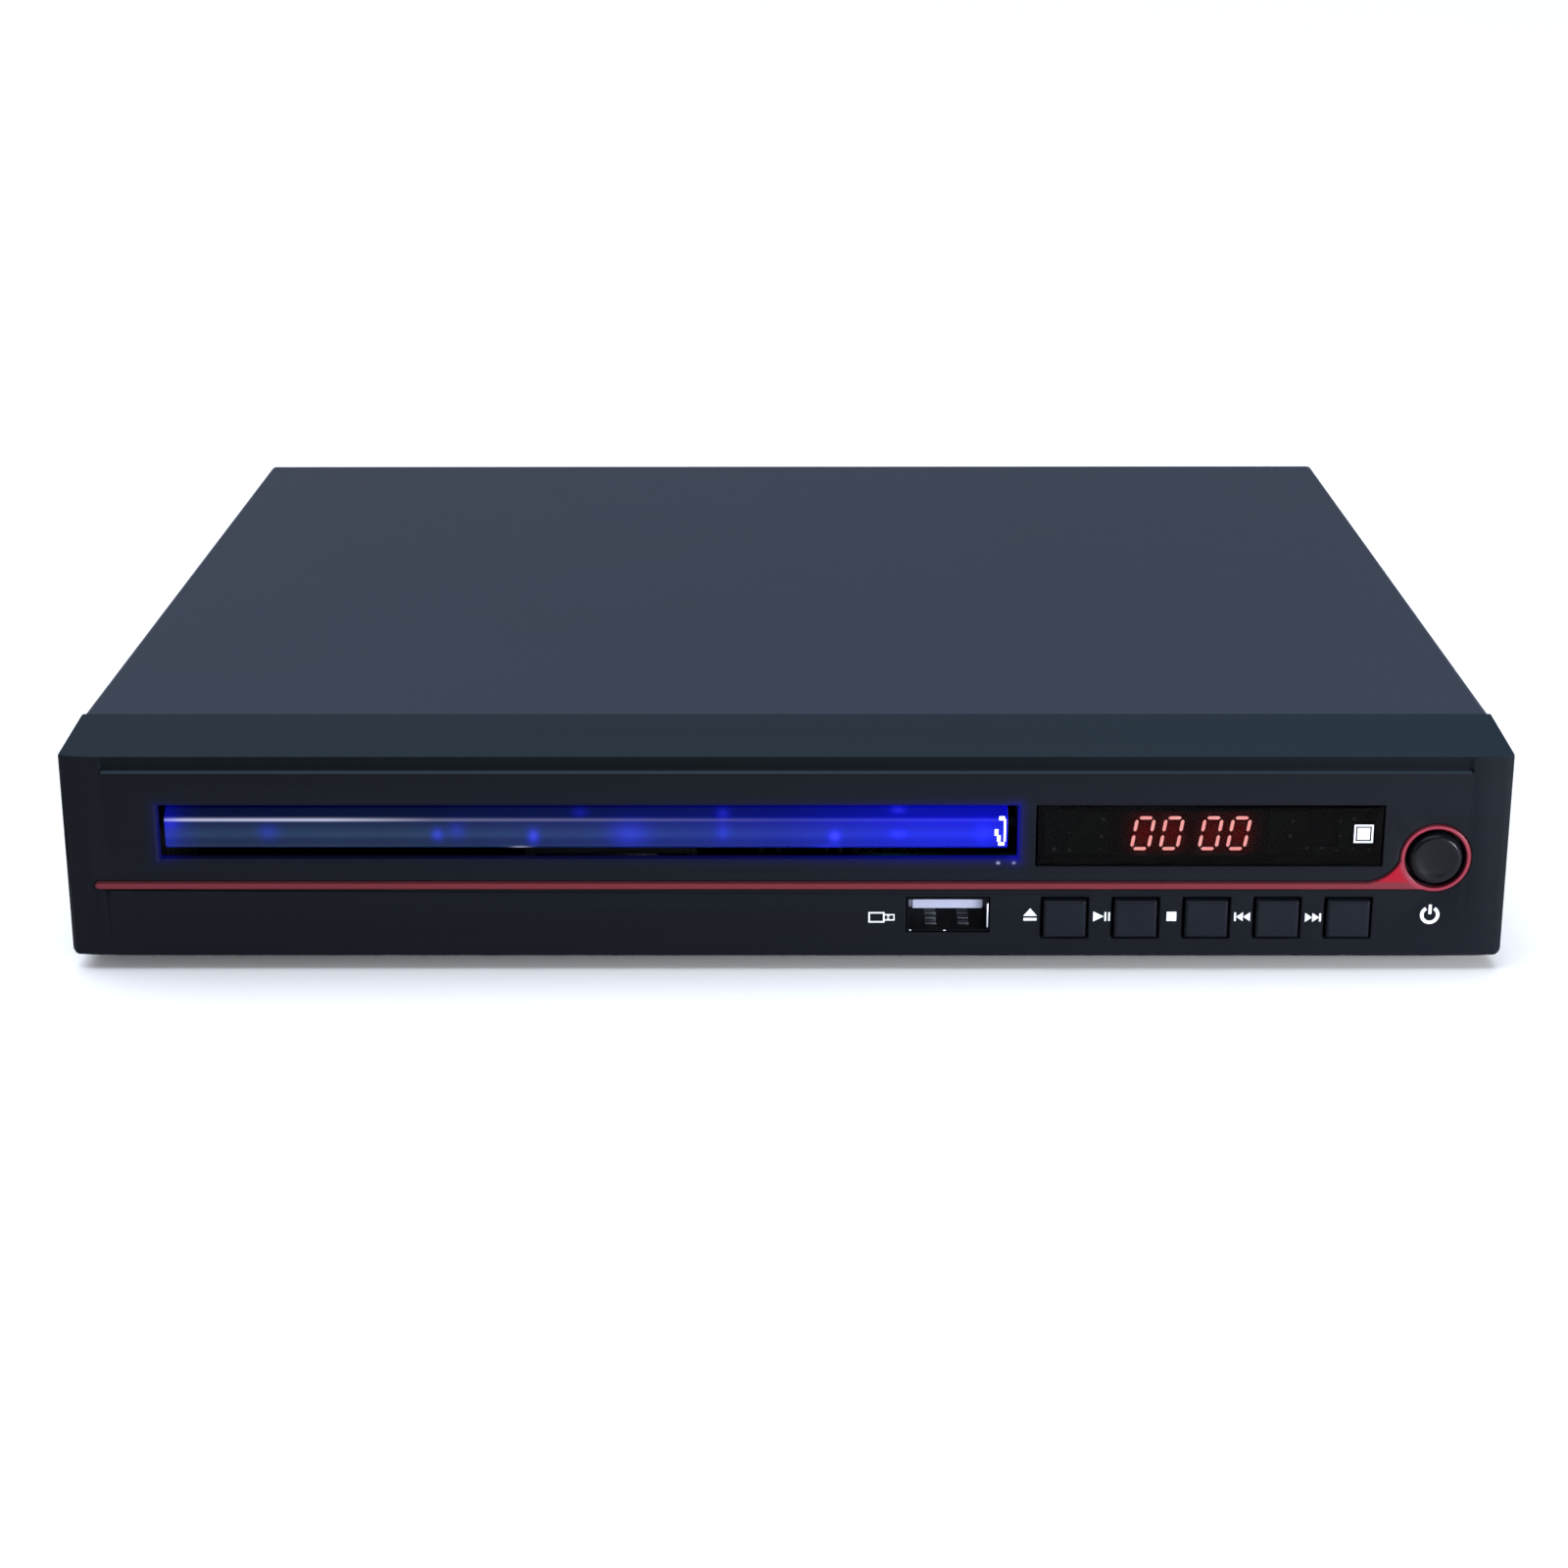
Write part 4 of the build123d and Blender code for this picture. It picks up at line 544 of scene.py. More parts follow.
def etched_black_abs():
    """Etched ABS: matt black with a fine pebble, a trace of flow lines, and blue light round the slot."""
    paint, tree, shader, place = new_finish(
        "etched_black_abs", {"Specular IOR Level": 0.05, "IOR": 1.53, "Emission Strength": 1.0},
    )
    at = put(tree, "ShaderNodeSeparateXYZ", {"Vector": place})
    long = put(tree, "ShaderNodeMapping", {"Vector": place, "Scale": (5.0, 320.0, 320.0)})
    flow = put(tree, "ShaderNodeTexNoise", {"Vector": long.outputs[0], "Scale": 1.0, "Detail": 4.0})
    pebble = put(tree, "ShaderNodeTexNoise", {"Vector": place, "Scale": 1500.0, "Detail": 2.0})
    vary(tree, shader, flow.outputs[0], roughness=(0.36, 0.5))
    vary(tree, shader, pebble.outputs[0], relief=(0.12, 0.00005))
    # painted light: the slope has a bluer, lighter tone for the light that falls on it from above, the band under it
    # is darkened as painted shade, and the lip is a pale painted highlight; the painted shade and highlight fade
    # towards the right
    wear_and_light_fade = put(
        tree, "ShaderNodeMapRange",
        {"Value": at.outputs["X"], "From Min": -20.0 * mm, "From Max": 108.0 * mm, "To Min": 1.0, "To Max": 0.45},
    )
    far, band_x, band_back = -120.0, (-lip_end - 0.3, lip_end + 0.3), face_y + lip_deep - 0.02
    slope_light = within(tree, at, Z=(crease_z + 0.05, crease_z + 10.0))
    band = within(tree, at, X=band_x, Y=(far, band_back), Z=(lip_z, crease_z))
    lip = within(tree, at, X=band_x, Y=(face_y + 0.03, band_back), Z=(lip_z - 0.7, lip_z - 0.3))
    base = coats(
        tree, "#0d0f13", (flow.outputs[0], "#11141a"), (slope_light, "#101c24"),
        (carry(tree, band, ("MULTIPLY", wear_and_light_fade.outputs[0])), "#060c10"),
        (carry(tree, lip, ("MULTIPLY", wear_and_light_fade.outputs[0])), "#283138"),
    )
    link(tree, base, shader.inputs["Base Color"])
    # the light dies away from the slot's edge in about half a millimetre, and is gone at 6 mm
    away = carry(
        tree, place, ("SUBTRACT", slot_middle), ("ABSOLUTE",), ("SUBTRACT", slot_half), ("MAXIMUM", (0, 0, 0)),
        ("MULTIPLY", (1, 0, 1)), ("LENGTH",), kind="ShaderNodeVectorMath",
    )
    near = carry(tree, away, ("LESS_THAN", 6 * mm))
    glow = carry(
        tree, away, ("DIVIDE", -0.55 * mm), ("EXPONENT",), ("MULTIPLY", near),
        ("MULTIPLY", along_door(tree, at)), ("MULTIPLY", 0.16),
    )
    # two painted white glints on the panel just under the slot, under the lamp
    painted_glints = spots_of_light(tree, place, [(33.9, 18.35, 0.25, 0.2, 0.8), (36.4, 18.35, 0.25, 0.2, 0.5)])
    on_front = carry(tree, painted_glints, ("MULTIPLY", within(tree, at, Y=(far, -98.0))))
    lit = shine(tree, "#c8caff", on_front, shine(tree, "#1212ff", glow))
    link(tree, lit, shader.inputs["Emission Color"])
    return paint


def set_band_back(shape):
    """Sets the band above the lip back to the lip's depth, so that the lip is a ledge that faces up."""
    for x in (-lip_end, lip_end):
        parts = shape.verts[:] + shape.edges[:] + shape.faces[:]
        bmesh.ops.bisect_plane(shape, geom=parts, plane_co=(x * mm, 0, 0), plane_no=(1, 0, 0))
    for vert in shape.verts:
        on_edge = abs(vert.co.y - face_y * mm) < 1e-5 and abs(vert.co.z - lip_z * mm) < 1e-5
        if on_edge and abs(vert.co.x) < (lip_end + 0.01) * mm:
            vert.co.y += lip_deep * mm
    bmesh.ops.remove_doubles(shape, verts=shape.verts, dist=2e-6)


panel_abs = etched_black_abs()
ease_node("front_panel", 0.16, panel_abs, reshape=set_band_back)


# ---------------------------------------------------------------- red stripe, fillet and ring
# One strip of red plastic pressed into a groove in the panel: it runs under the
# door and the window, widens into a fillet and goes round the power button.

ring_middle = (103.4, 19.2)


def red_moulding():
    """Red moulded plastic with a gloss skin, with painted shade that darkens it from its crown down into the groove.
    """
    crown_y, groove_y, ring_edge, fillet_low = -98.548, -98.49, 5.5, 15.0
    paint, tree, shader, place = new_finish(
        "gloss_red_moulding", {"Roughness": 0.3, "Specular IOR Level": 0.13, "IOR": 1.53},
    )
    flow = put(tree, "ShaderNodeTexNoise", {"Vector": place, "Scale": 260.0, "Detail": 3.0})
    at = put(tree, "ShaderNodeSeparateXYZ", {"Vector": place})
    # painted shade: the red darkens the further back the surface lies behind the crown
    deep = put(
        tree, "ShaderNodeMapRange",
        {"Value": at.outputs["Y"], "From Min": crown_y * mm, "From Max": groove_y * mm, "To Max": 0.92},
    )
    middle = (ring_middle[0] * mm, 0, ring_middle[1] * mm)
    apart = carry(
        tree, place, ("SUBTRACT", middle), ("MULTIPLY", (1, 0, 1)), ("LENGTH",), kind="ShaderNodeVectorMath",
    )
    outside, over = (
        put(tree, "ShaderNodeMapRange", {"Value": value, "From Min": edge * mm, "From Max": (edge + 0.4) * mm})
        for value, edge in ((apart, ring_edge), (at.outputs["Z"], fillet_low))
    )
    fillet = carry(tree, over.outputs[0], ("MULTIPLY", outside.outputs[0]))
    # the ring and the stripe are a duller, pinker red than the fillet, whose red is fuller; the pink is a painted
    # highlight along their rounded crowns
    base = coats(
        tree, "#7c2636", (flow.outputs[0], "#86303f"), (outside.outputs[0], "#64222b"), (fillet, "#86091f"),
        (deep.outputs[0], "#30050d"),
    )
    link(tree, base, shader.inputs["Base Color"])
    vary(tree, shader, flow.outputs[0], relief=(0.05, 0.0001))
    return paint


ease_node("red_trim", 0.45, red_moulding(), steps=5, sharpest=50.0)


# ---------------------------------------------------------------- display window and display
# A smoked acrylic window lies flush in the panel. Behind it a four-digit LED
# display shows figures, and an infrared receiver looks out at its right.

def smoked_acrylic():
    """Smoked acrylic: a black gloss in which only lit digits show; wiping leaves faint arcs on its polish."""
    paint, tree, shader, place = new_finish(
        "smoked_acrylic",
        {"Transmission Weight": 1.0, "IOR": 1.13},
    )
    wipe = put(tree, "ShaderNodeTexNoise", {"Vector": place, "Scale": 120.0, "Detail": 3.0, "Distortion": 1.5})
    vary(tree, shader, wipe.outputs[0], colours=("#5a5659", "#615d60"), roughness=(0.03, 0.09))
    return paint


ease_node("display_window", 0.06, smoked_acrylic())

digit_x = [57.1, 61.7, 67.9, 72.4]
digit_low, digit_high = 19.8, 25.0


def display_face():
    """The display's black epoxy face: dull, with a red haze round the digits that are lit."""
    paint, tree, shader, place = new_finish(
        "black_display_epoxy",
        {"Roughness": 0.6, "Specular IOR Level": 0.2, "Emission Color": linear("#ff1c08")},
    )
    grain = put(tree, "ShaderNodeTexNoise", {"Vector": place, "Scale": 900.0, "Detail": 2.0})
    vary(tree, shader, grain.outputs[0], colours=("#0a0a0b", "#121113"))
    haze = spots_of_light(tree, place, [(x, (digit_low + digit_high) / 2, 1.9, 2.9, 0.5) for x in digit_x])
    link(tree, haze, shader.inputs["Emission Strength"])
    return paint


dress("led_display", display_face())


def flat_shapes(name, loops, y, thick):
    """Thin flat shapes that stand across the player: each loop is a list of (x, z) in millimetres."""
    plate = bmesh.new()
    for loop in loops:
        plate.faces.new([plate.verts.new((x * mm, y * mm, z * mm)) for x, z in loop])
    bmesh.ops.recalc_face_normals(plate, faces=plate.faces)
    raised = bmesh.ops.extrude_face_region(plate, geom=list(plate.faces))
    moved = [v for v in raised["geom"] if isinstance(v, bmesh.types.BMVert)]
    bmesh.ops.translate(plate, verts=moved, vec=(0, -thick * mm, 0))
    bmesh.ops.recalc_face_normals(plate, faces=plate.faces)
    mesh = bpy.data.meshes.new(name)
    plate.to_mesh(mesh)
    plate.free()
    return mesh


def nought_bars(centre):
    """The six lit bars of a nought, as loops of (x, z): each bar is a long hexagon, and all lean to the right."""
    half, tall, bar, gap, slant = 1.35, (digit_high - digit_low) / 2, 0.26, 0.3, 0.16
    middle = (digit_low + digit_high) / 2
    ends = (
        ((-half, tall), (half, tall)), ((half, 0), (half, tall)), ((half, -tall), (half, 0)),
        ((-half, -tall), (half, -tall)), ((-half, -tall), (-half, 0)), ((-half, 0), (-half, tall)),
    )
    loops = []
    for start, finish in ((Vector(a), Vector(b)) for a, b in ends):
        along = (finish - start).normalized()
        across = Vector((-along.y, along.x))
        start, finish = start + along * gap, finish - along * gap
        points = [
            start, start + (along + across) * bar, finish + (across - along) * bar,
            finish, finish - (along + across) * bar, start + (along - across) * bar,
        ]
        loops.append([(centre + p.x + p.y * slant, middle + p.y) for p in points])
    return loops


def lit_segment():
    """A lit LED segment: a pink-white glow, mottled between two tints, over a dark red body."""
    surface = {"Base Color": linear("#3a0906"), "Roughness": 0.4, "Emission Strength": 8.5}
    noise = {"Scale": 1600.0, "Detail": 1.0}
    return clouded("lit_red_segment", surface, noise, colours=("#ff8f8a", "#ffc8be"), socket="Emission Color")


display_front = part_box("led_display")[0].y / mm
bars = [loop for x in digit_x for loop in nought_bars(x)]
digits = flat_shapes("display_digits", bars, display_front, 0.06)
add_piece("display_digits", digits, lit_segment(), "case")


def receiver_epoxy():
    """The receiver's dark epoxy, which passes infrared: near-black violet with a wet gloss."""
    surface = {"Roughness": 0.12, "Specular IOR Level": 0.5}
    return clouded("infrared_epoxy", surface, {"Scale": 500.0, "Detail": 2.0}, colours=("#08070c", "#15101d"))


dress("ir_receiver", receiver_epoxy())


# ---------------------------------------------------------------- printed symbols
# White screen-printed marks by the keys and the socket, and a bare white square
# on the window. The ink stands a few hundredths of a millimetre proud.

def screen_ink():
    """Screen-printing ink: matt white, thin enough that its edge is uneven and slightly grey, with a faint painted
    glow that brightens it.
    """
    surface = {
        "Roughness": 0.55, "Specular IOR Level": 0.3, "Emission Color": linear("#dde2e8"), "Emission Strength": 0.12,
    }
    return clouded("white_screen_ink", surface, {"Scale": 2500.0, "Detail": 2.0}, colours=("#c3c8ce", "#e6e9ed"))


def bar_mark(x0, x1, z0, z1):
    """A rectangle between two places across and two places up."""
    return [(x0, z0), (x1, z0), (x1, z1), (x0, z1)]


def arrow_mark(x0, x1, z, half):
    """A triangle that points from x0 to x1."""
    return [(x0, z - half), (x0, z + half), (x1, z)]


def ring_marks(x, z, outer, inner, start, finish, steps=22):
    """A ring from one angle to another, as a row of quads."""
    spokes = []
    for step in range(steps + 1):
        angle = math.radians(start + (finish - start) * step / steps)
        spokes.append((math.cos(angle), math.sin(angle)))
    loops = []
    for (a, b), (c, d) in zip(spokes, spokes[1:]):
        loops.append([
            (x + a * inner, z + b * inner), (x + a * outer, z + b * outer),
            (x + c * outer, z + d * outer), (x + c * inner, z + d * inner),
        ])
    return loops


panel_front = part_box("front_panel")[0].y / mm
marks = [
    [(38.1, 9.35), (40.3, 9.35), (39.2, 10.65)], bar_mark(38.15, 40.25, 8.55, 9.0),
    arrow_mark(49.3, 51.0, 9.27, 0.85), bar_mark(51.1, 51.4, 8.5, 10.0), bar_mark(51.7, 52.0, 8.5, 10.0),
    bar_mark(61.05, 62.6, 8.5, 10.05),
    bar_mark(71.85, 72.15, 8.5, 9.95), arrow_mark(73.25, 72.15, 9.22, 0.75), arrow_mark(74.4, 73.3, 9.22, 0.75),
    arrow_mark(83.2, 84.3, 9.1, 0.75), arrow_mark(84.35, 85.45, 9.1, 0.75), bar_mark(85.45, 85.75, 8.4, 9.8),
    bar_mark(102.86, 103.34, 9.7, 11.3),
]
marks += ring_marks(103.1, 9.55, 1.55, 1.0, 122, 418)
# a plain picture of a flat plug marks the socket
marks += [
    bar_mark(13.3, 15.9, 8.2, 8.45), bar_mark(13.3, 15.9, 9.75, 10.0), bar_mark(13.3, 13.55, 8.45, 9.75),
    bar_mark(15.65, 15.9, 8.45, 9.75), bar_mark(15.9, 17.5, 8.55, 8.75), bar_mark(15.9, 17.5, 9.45, 9.65),
    bar_mark(17.3, 17.5, 8.75, 9.45), bar_mark(16.3, 16.65, 9.2, 9.4), bar_mark(16.3, 16.65, 8.8, 9.0),
]
ink = screen_ink()
add_piece("printed_symbols", flat_shapes("printed_symbols", marks, panel_front, 0.03), ink, "case")
window_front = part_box("display_window")[0].y / mm
square = ring_marks(91.75, 23.3, 2.15, 1.75, 45, 405, steps=4)
square += [bar_mark(90.75, 92.75, 22.3, 24.3)]
add_piece("window_mark", flat_shapes("window_mark", square, window_front, 0.03), ink, "case")


# ---------------------------------------------------------------- keys and power button
# Five square keys and a round button, each moulded in black ABS with a flange
# behind the panel. Finger grease gives their tops more shine than the panel has.

def satin_black_abs(name, low, high, roughness, specular):
    """Satin black ABS: smoother than the etched panel, with fine scuffs a few millimetres long."""
    paint, tree, shader, place = new_finish(name, {"Specular IOR Level": specular, "IOR": 1.53})
    smear = put(tree, "ShaderNodeTexNoise", {"Vector": place, "Scale": 220.0, "Detail": 4.0, "Distortion": 0.6})
    grain = put(tree, "ShaderNodeTexNoise", {"Vector": place, "Scale": 2200.0, "Detail": 1.0})
    vary(tree, shader, smear.outputs[0], colours=(low, high), roughness=(roughness - 0.07, roughness + 0.07))
    vary(tree, shader, grain.outputs[0], relief=(0.08, 0.00004))
    return paint


key_abs = satin_black_abs("satin_black_abs", "#0e1117", "#13161d", 0.36, 0.08)
for key in ("eject", "play", "stop", "previous", "next"):
    ease_node(key + "_key", 0.14, key_abs, steps=3)


def turned_knob(name, profile, centre, steps=64):
    """A round piece turned about an axis along Y; its profile of (radius, y) runs from the front to the back."""
    shape = bmesh.new()
    rings = []
    for radius, y in profile:
        if radius == 0:
            rings.append([shape.verts.new((centre[0] * mm, y * mm, centre[1] * mm))])
            continue
        ring = []
        for step in range(steps):
            angle = 2 * math.pi * step / steps
            x, z = centre[0] + radius * math.cos(angle), centre[1] + radius * math.sin(angle)
            ring.append(shape.verts.new((x * mm, y * mm, z * mm)))
        rings.append(ring)
    for near, far in zip(rings, rings[1:]):
        for step in range(steps):
            after = (step + 1) % steps
            corners = [ring[at % len(ring)] for ring, at in ((near, step), (near, after), (far, after), (far, step))]
            shape.faces.new(list(dict.fromkeys(corners)))
    bmesh.ops.recalc_face_normals(shape, faces=shape.faces)
    return finished_mesh(shape, name, 30)


knob_abs = satin_black_abs("gloss_black_abs", "#08090c", "#0c0e12", 0.24, 0.08)
knob_shader = knob_abs.node_tree.nodes["Principled BSDF"]
knob_shader.inputs["Coat Weight"].default_value = 0.08
knob_shader.inputs["Coat Roughness"].default_value = 0.07
button_low, button_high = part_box("power_button")
front, back = button_low.y / mm, button_high.y / mm
# the front is dished, its rim is rounded, and the flange behind the panel is wider
dish = [(0, 0.36), (1.2, 0.34), (2.2, 0.25), (2.9, 0.1), (3.3, 0.01)]
rim = [(3.5, 0), (3.72, 0.07), (3.95, 0.28), (4.15, 0.62), (4.3, 1.1), (4.38, 1.7)]
flange = [(4.4, 3.55), (5.35, 3.55), (5.35, 4.35), (1.5, 4.35)]
knob_profile = [(radius, front + set_back) for radius, set_back in dish + rim + flange] + [(1.5, back), (0, back)]
knob = turned_knob("power_knob", knob_profile, ring_middle)
power = add_piece("power_knob", knob, knob_abs, "power_button")
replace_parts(power, "power_button")


# ---------------------------------------------------------------- front socket
# A standard flat socket: a drawn and plated steel shell, four sprung tongues
# pressed out of it, and a moulded blade with four gold-plated contacts.

def nickel_plate(name, low, high, roughness):
    """Nickel plate on drawn steel: mirror-like with fine lengthwise draw marks."""
    paint, tree, shader, place = new_finish(name, {"Metallic": 1.0})
    long = put(tree, "ShaderNodeMapping", {"Vector": place, "Scale": (2400.0, 90.0, 2400.0)})
    draw = put(tree, "ShaderNodeTexNoise", {"Vector": long.outputs[0], "Scale": 1.0, "Detail": 2.0})
    vary(tree, shader, draw.outputs[0], colours=(low, high), roughness=(roughness, roughness + 0.15))
    return paint


shell_nickel = nickel_plate("bright_nickel_plate", "#6d7078", "#878b93", 0.26)
# the socket's shell has the same nickel darkened almost to black, a painted shade
shaded_nickel = nickel_plate("shaded_nickel_plate", "#0e0f12", "#16181c", 0.42)
ease_node("usb_shell", 0.08, shaded_nickel)


def natural_nylon():
    """Pale moulded nylon with a bluish cast, with a faint even painted glow that brightens it."""
    surface = {
        "Roughness": 0.35, "Specular IOR Level": 0.4, "Emission Color": linear("#d0d4ec"), "Emission Strength": 0.1,
    }
    return clouded("pale_moulded_nylon", surface, {"Scale": 400.0, "Detail": 2.0}, colours=("#8c90a6", "#9c9fb3"))


ease_node("usb_tongue", 0.12, natural_nylon())


def box_shapes(name, boxes, bevel):
    """Small blocks in one mesh, each ((x0, x1), (y0, y1), (z0, z1)) in millimetres, with eased edges."""
    shape = bmesh.new()
    for across, deep, up in boxes:
        corners = [shape.verts.new((x * mm, y * mm, z * mm)) for x in across for y in deep for z in up]
        for face in ((0, 1, 3, 2), (4, 6, 7, 5), (0, 4, 5, 1), (2, 3, 7, 6), (0, 2, 6, 4), (1, 5, 7, 3)):
            shape.faces.new([corners[i] for i in face])
    bmesh.ops.recalc_face_normals(shape, faces=shape.faces)
    bmesh.ops.bevel(
        shape, geom=list(shape.edges), offset=bevel * mm, segments=2, profile=0.5, affect="EDGES", clamp_overlap=True,
    )
    return finished_mesh(shape, name, 35)


# a bright nickel for the painted highlights on the socket
highlight_nickel = nickel_plate("highlight_nickel_plate", "#d3d7de", "#eef1f6", 0.3)
gold = nickel_plate("gold_contact_plate", "#b08a3c", "#d6b264", 0.22)
blade_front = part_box("usb_tongue")[0].y / mm
blade_middle, contact_half = 26.0, 0.5
contacts = [
    ((x - contact_half, x + contact_half), (blade_front + 0.5, blade_front + 8.0), (9.86, 10.02))
    for x in (blade_middle + step for step in (-3.5, -1.0, 1.0, 3.5))
]
add_piece("usb_contacts", box_shapes("usb_contacts", contacts, 0.03), gold, "case")
# each of the lower springs is three short steps that rise towards the back; the upper ones stay flat
springs = []
for x in (23.4, 28.6):
    width = (x - 0.9, x + 0.9)
    for tip_y, lift in ((-96.0, 0.0), (-94.4, 0.35), (-92.8, 0.6)):
        springs.append((width, (tip_y, tip_y + 2.0), (6.95 + lift, 7.25 + lift)))
    springs.append((width, (-95.8, -94.0), (11.98, 12.06)))
# painted highlights: bright strips on the rolled end of the shell's right side and on the tips of its seam
rubbed = [
    ((32.25, 32.5), (-98.12, -97.4), (7.3, 11.4)), ((25.3, 25.75), (-98.12, -97.6), (6.68, 6.93)),
    ((19.8, 20.2), (-98.12, -97.6), (6.72, 6.95)),
]
add_piece("usb_springs", box_shapes("usb_springs", springs, 0.08), shell_nickel, "case")
add_piece("usb_rubbed_edges", box_shapes("usb_rubbed_edges", rubbed, 0.1), highlight_nickel, "case")


# ---------------------------------------------------------------- tray door
# A clear acrylic bar with bevelled long edges, glued to the tray. A blue lamp at
# its right end lights it from the side, so its ends and every rib in it glow.

door_low, door_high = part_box("tray_door")
door_y = (door_low.y / mm, door_high.y / mm)
door_ends = (door_low.x / mm, door_high.x / mm)


def profiled_bar(name, outline, ends, rounding):
    """A bar along X whose section is a loop of (y, z), with every edge slightly rounded."""
    bar = bmesh.new()
    left = [bar.verts.new((ends[0] * mm, y * mm, z * mm)) for y, z in outline]
    right = [bar.verts.new((ends[1] * mm, y * mm, z * mm)) for y, z in outline]
    bar.faces.new(left)
    bar.faces.new(list(reversed(right)))
    count = len(outline)
    for step in range(count):
        after = (step + 1) % count
        bar.faces.new((left[step], right[step], right[after], left[after]))
    bmesh.ops.recalc_face_normals(bar, faces=bar.faces)
    bmesh.ops.bevel(
        bar, geom=list(bar.edges), offset=rounding * mm, segments=2, profile=0.5, affect="EDGES", clamp_overlap=True,
    )
    return finished_mesh(bar, name, 40)


def lit_acrylic():
    """Edge-lit acrylic: slate blue where clear, blue towards the lamp, with lit ribs and painted highlights along its
    long edges.
    """
    paint, tree, shader, place = new_finish(
        "edge_lit_acrylic",
        {"Roughness": 0.1, "Specular IOR Level": 0.07, "IOR": 1.49, "Emission Strength": 1.0},
    )
    at = put(tree, "ShaderNodeSeparateXYZ", {"Vector": place})
    haze = put(tree, "ShaderNodeTexNoise", {"Vector": place, "Scale": 90.0, "Detail": 3.0})
    tint = coats(tree, "#1f3030", (haze.outputs[0], "#283c3f"))
    # the slate tint is banded up the bar: palest half-way up, with a thin painted highlight along its lower edge, and
    # darker towards the top; where the light is strong it drowns the plastic's own grey
    clear = levels(tree, at.outputs["Z"], 20.4, 26.9, [
        (20.4, 0.3), (20.85, 0.9), (21.2, 0.5), (21.9, 0.5), (22.8, 1.0), (24.1, 0.55), (24.9, 0.33), (25.8, 0.25),
        (26.9, 0.3),
    ])
    drowned = put(
        tree, "ShaderNodeMapRange",
        {"Value": at.outputs["X"], "From Min": -60.0 * mm, "From Max": 37.0 * mm, "To Min": 0.92, "To Max": 0.3},
    )
    grey = carry(tree, clear, ("MULTIPLY", drowned.outputs[0]))
    slate = carry(tree, tint, ("MULTIPLY", grey), kind="ShaderNodeVectorMath")
    link(tree, slate, shader.inputs["Base Color"])
    # the light is strongest half-way up and under the upper edge, and in the ribs inside the bar
    rise = levels(tree, at.outputs["Z"], 20.4, 26.9, [
        (20.4, 0.5), (20.9, 0.72), (21.8, 0.82), (22.8, 1.0), (24.1, 0.82), (24.8, 0.9), (25.3, 0.9), (25.8, 0.5),
        (26.9, 0.42),
    ])
    ribs = spots_of_light(tree, place, [
        (-97.8, 24.6, 1.5, 1.0, 0.25), (-82.3, 23.2, 1.6, 1.3, 0.2), (-55.4, 22.8, 0.9, 1.0, 0.42),
        (-52.3, 23.4, 1.4, 1.4, 0.2), (-40.1, 22.5, 0.9, 1.2, 0.55), (-32.7, 26.2, 1.2, 0.6, 0.2),
        (-24.7, 22.9, 3.0, 2.0, 0.34), (-9.9, 26.1, 1.1, 0.7, 0.3), (-9.9, 23.3, 1.1, 1.5, 0.28),
        (7.9, 22.5, 1.0, 1.1, 0.65), (6.7, 20.6, 2.2, 0.5, 0.3), (18.0, 26.5, 1.3, 0.5, 0.4),
        (18.0, 22.9, 1.5, 0.9, 0.4), (31.6, 23.0, 1.6, 2.0, 0.3),
    ])
    blue = carry(tree, along_door(tree, at), ("MULTIPLY_ADD", rise, ribs))
    # painted highlights: a line along the upper front edge, white at the left and fainter to the right, a faint line
    # along the lower edge, and a glint on a chip in the lower edge
    pale = levels(tree, at.outputs["X"], -99.9, 37.0, [
        (-98.9, 0.1), (-96.0, 0.21), (-73.0, 0.22), (-66.0, 0.15), (-56.0, 0.055), (-32.0, 0.038), (0.0, 0.014),
        (37.0, 0.01),
    ])
    whole_length = 1e6
    edge = spots_of_light(tree, place, [(0, 25.25, whole_length, 0.22, 3.2), (0, 20.85, whole_length, 0.12, 0.08)])
    chip = spots_of_light(tree, place, [(-42.3, 20.6, 1.3, 0.16, 0.5)])
    white = carry(tree, edge, ("MULTIPLY_ADD", pale, chip))
    cored = carry(tree, ribs, ("MULTIPLY", ribs), ("MULTIPLY_ADD", 0.12, white))
    link(tree, shine(tree, "#dfe3ff", cored, shine(tree, "#0a0aff", blue)), shader.inputs["Emission Color"])
    return paint


foot_z, chamfer_z, top_z = 20.42, 25.3, 26.88
section = [
    (door_y[0], foot_z + 0.53), (door_y[0], chamfer_z), (door_y[0] + 1.5, top_z), (door_y[1], top_z),
    (door_y[1], foot_z), (door_y[0] + 0.5, foot_z),
]
door_bar = profiled_bar("lit_door", section, door_ends, 0.13)
door = add_piece("lit_door", door_bar, lit_acrylic(), "tray")
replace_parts(door, "tray_door")


def lamp_white(name, colour, strength):
    """A glowing blue-white, nearly even and a little mottled: the frosted epoxy of a lit LED, and also the painted
    glints on the door.
    """
    surface = {"Base Color": linear("#cfd4ff"), "Roughness": 0.5, "Emission Strength": strength}
    noise = {"Scale": 1800.0, "Detail": 2.0}
    return clouded(name, surface, noise, colours=(colour, "#ffffff"), socket="Emission Color")


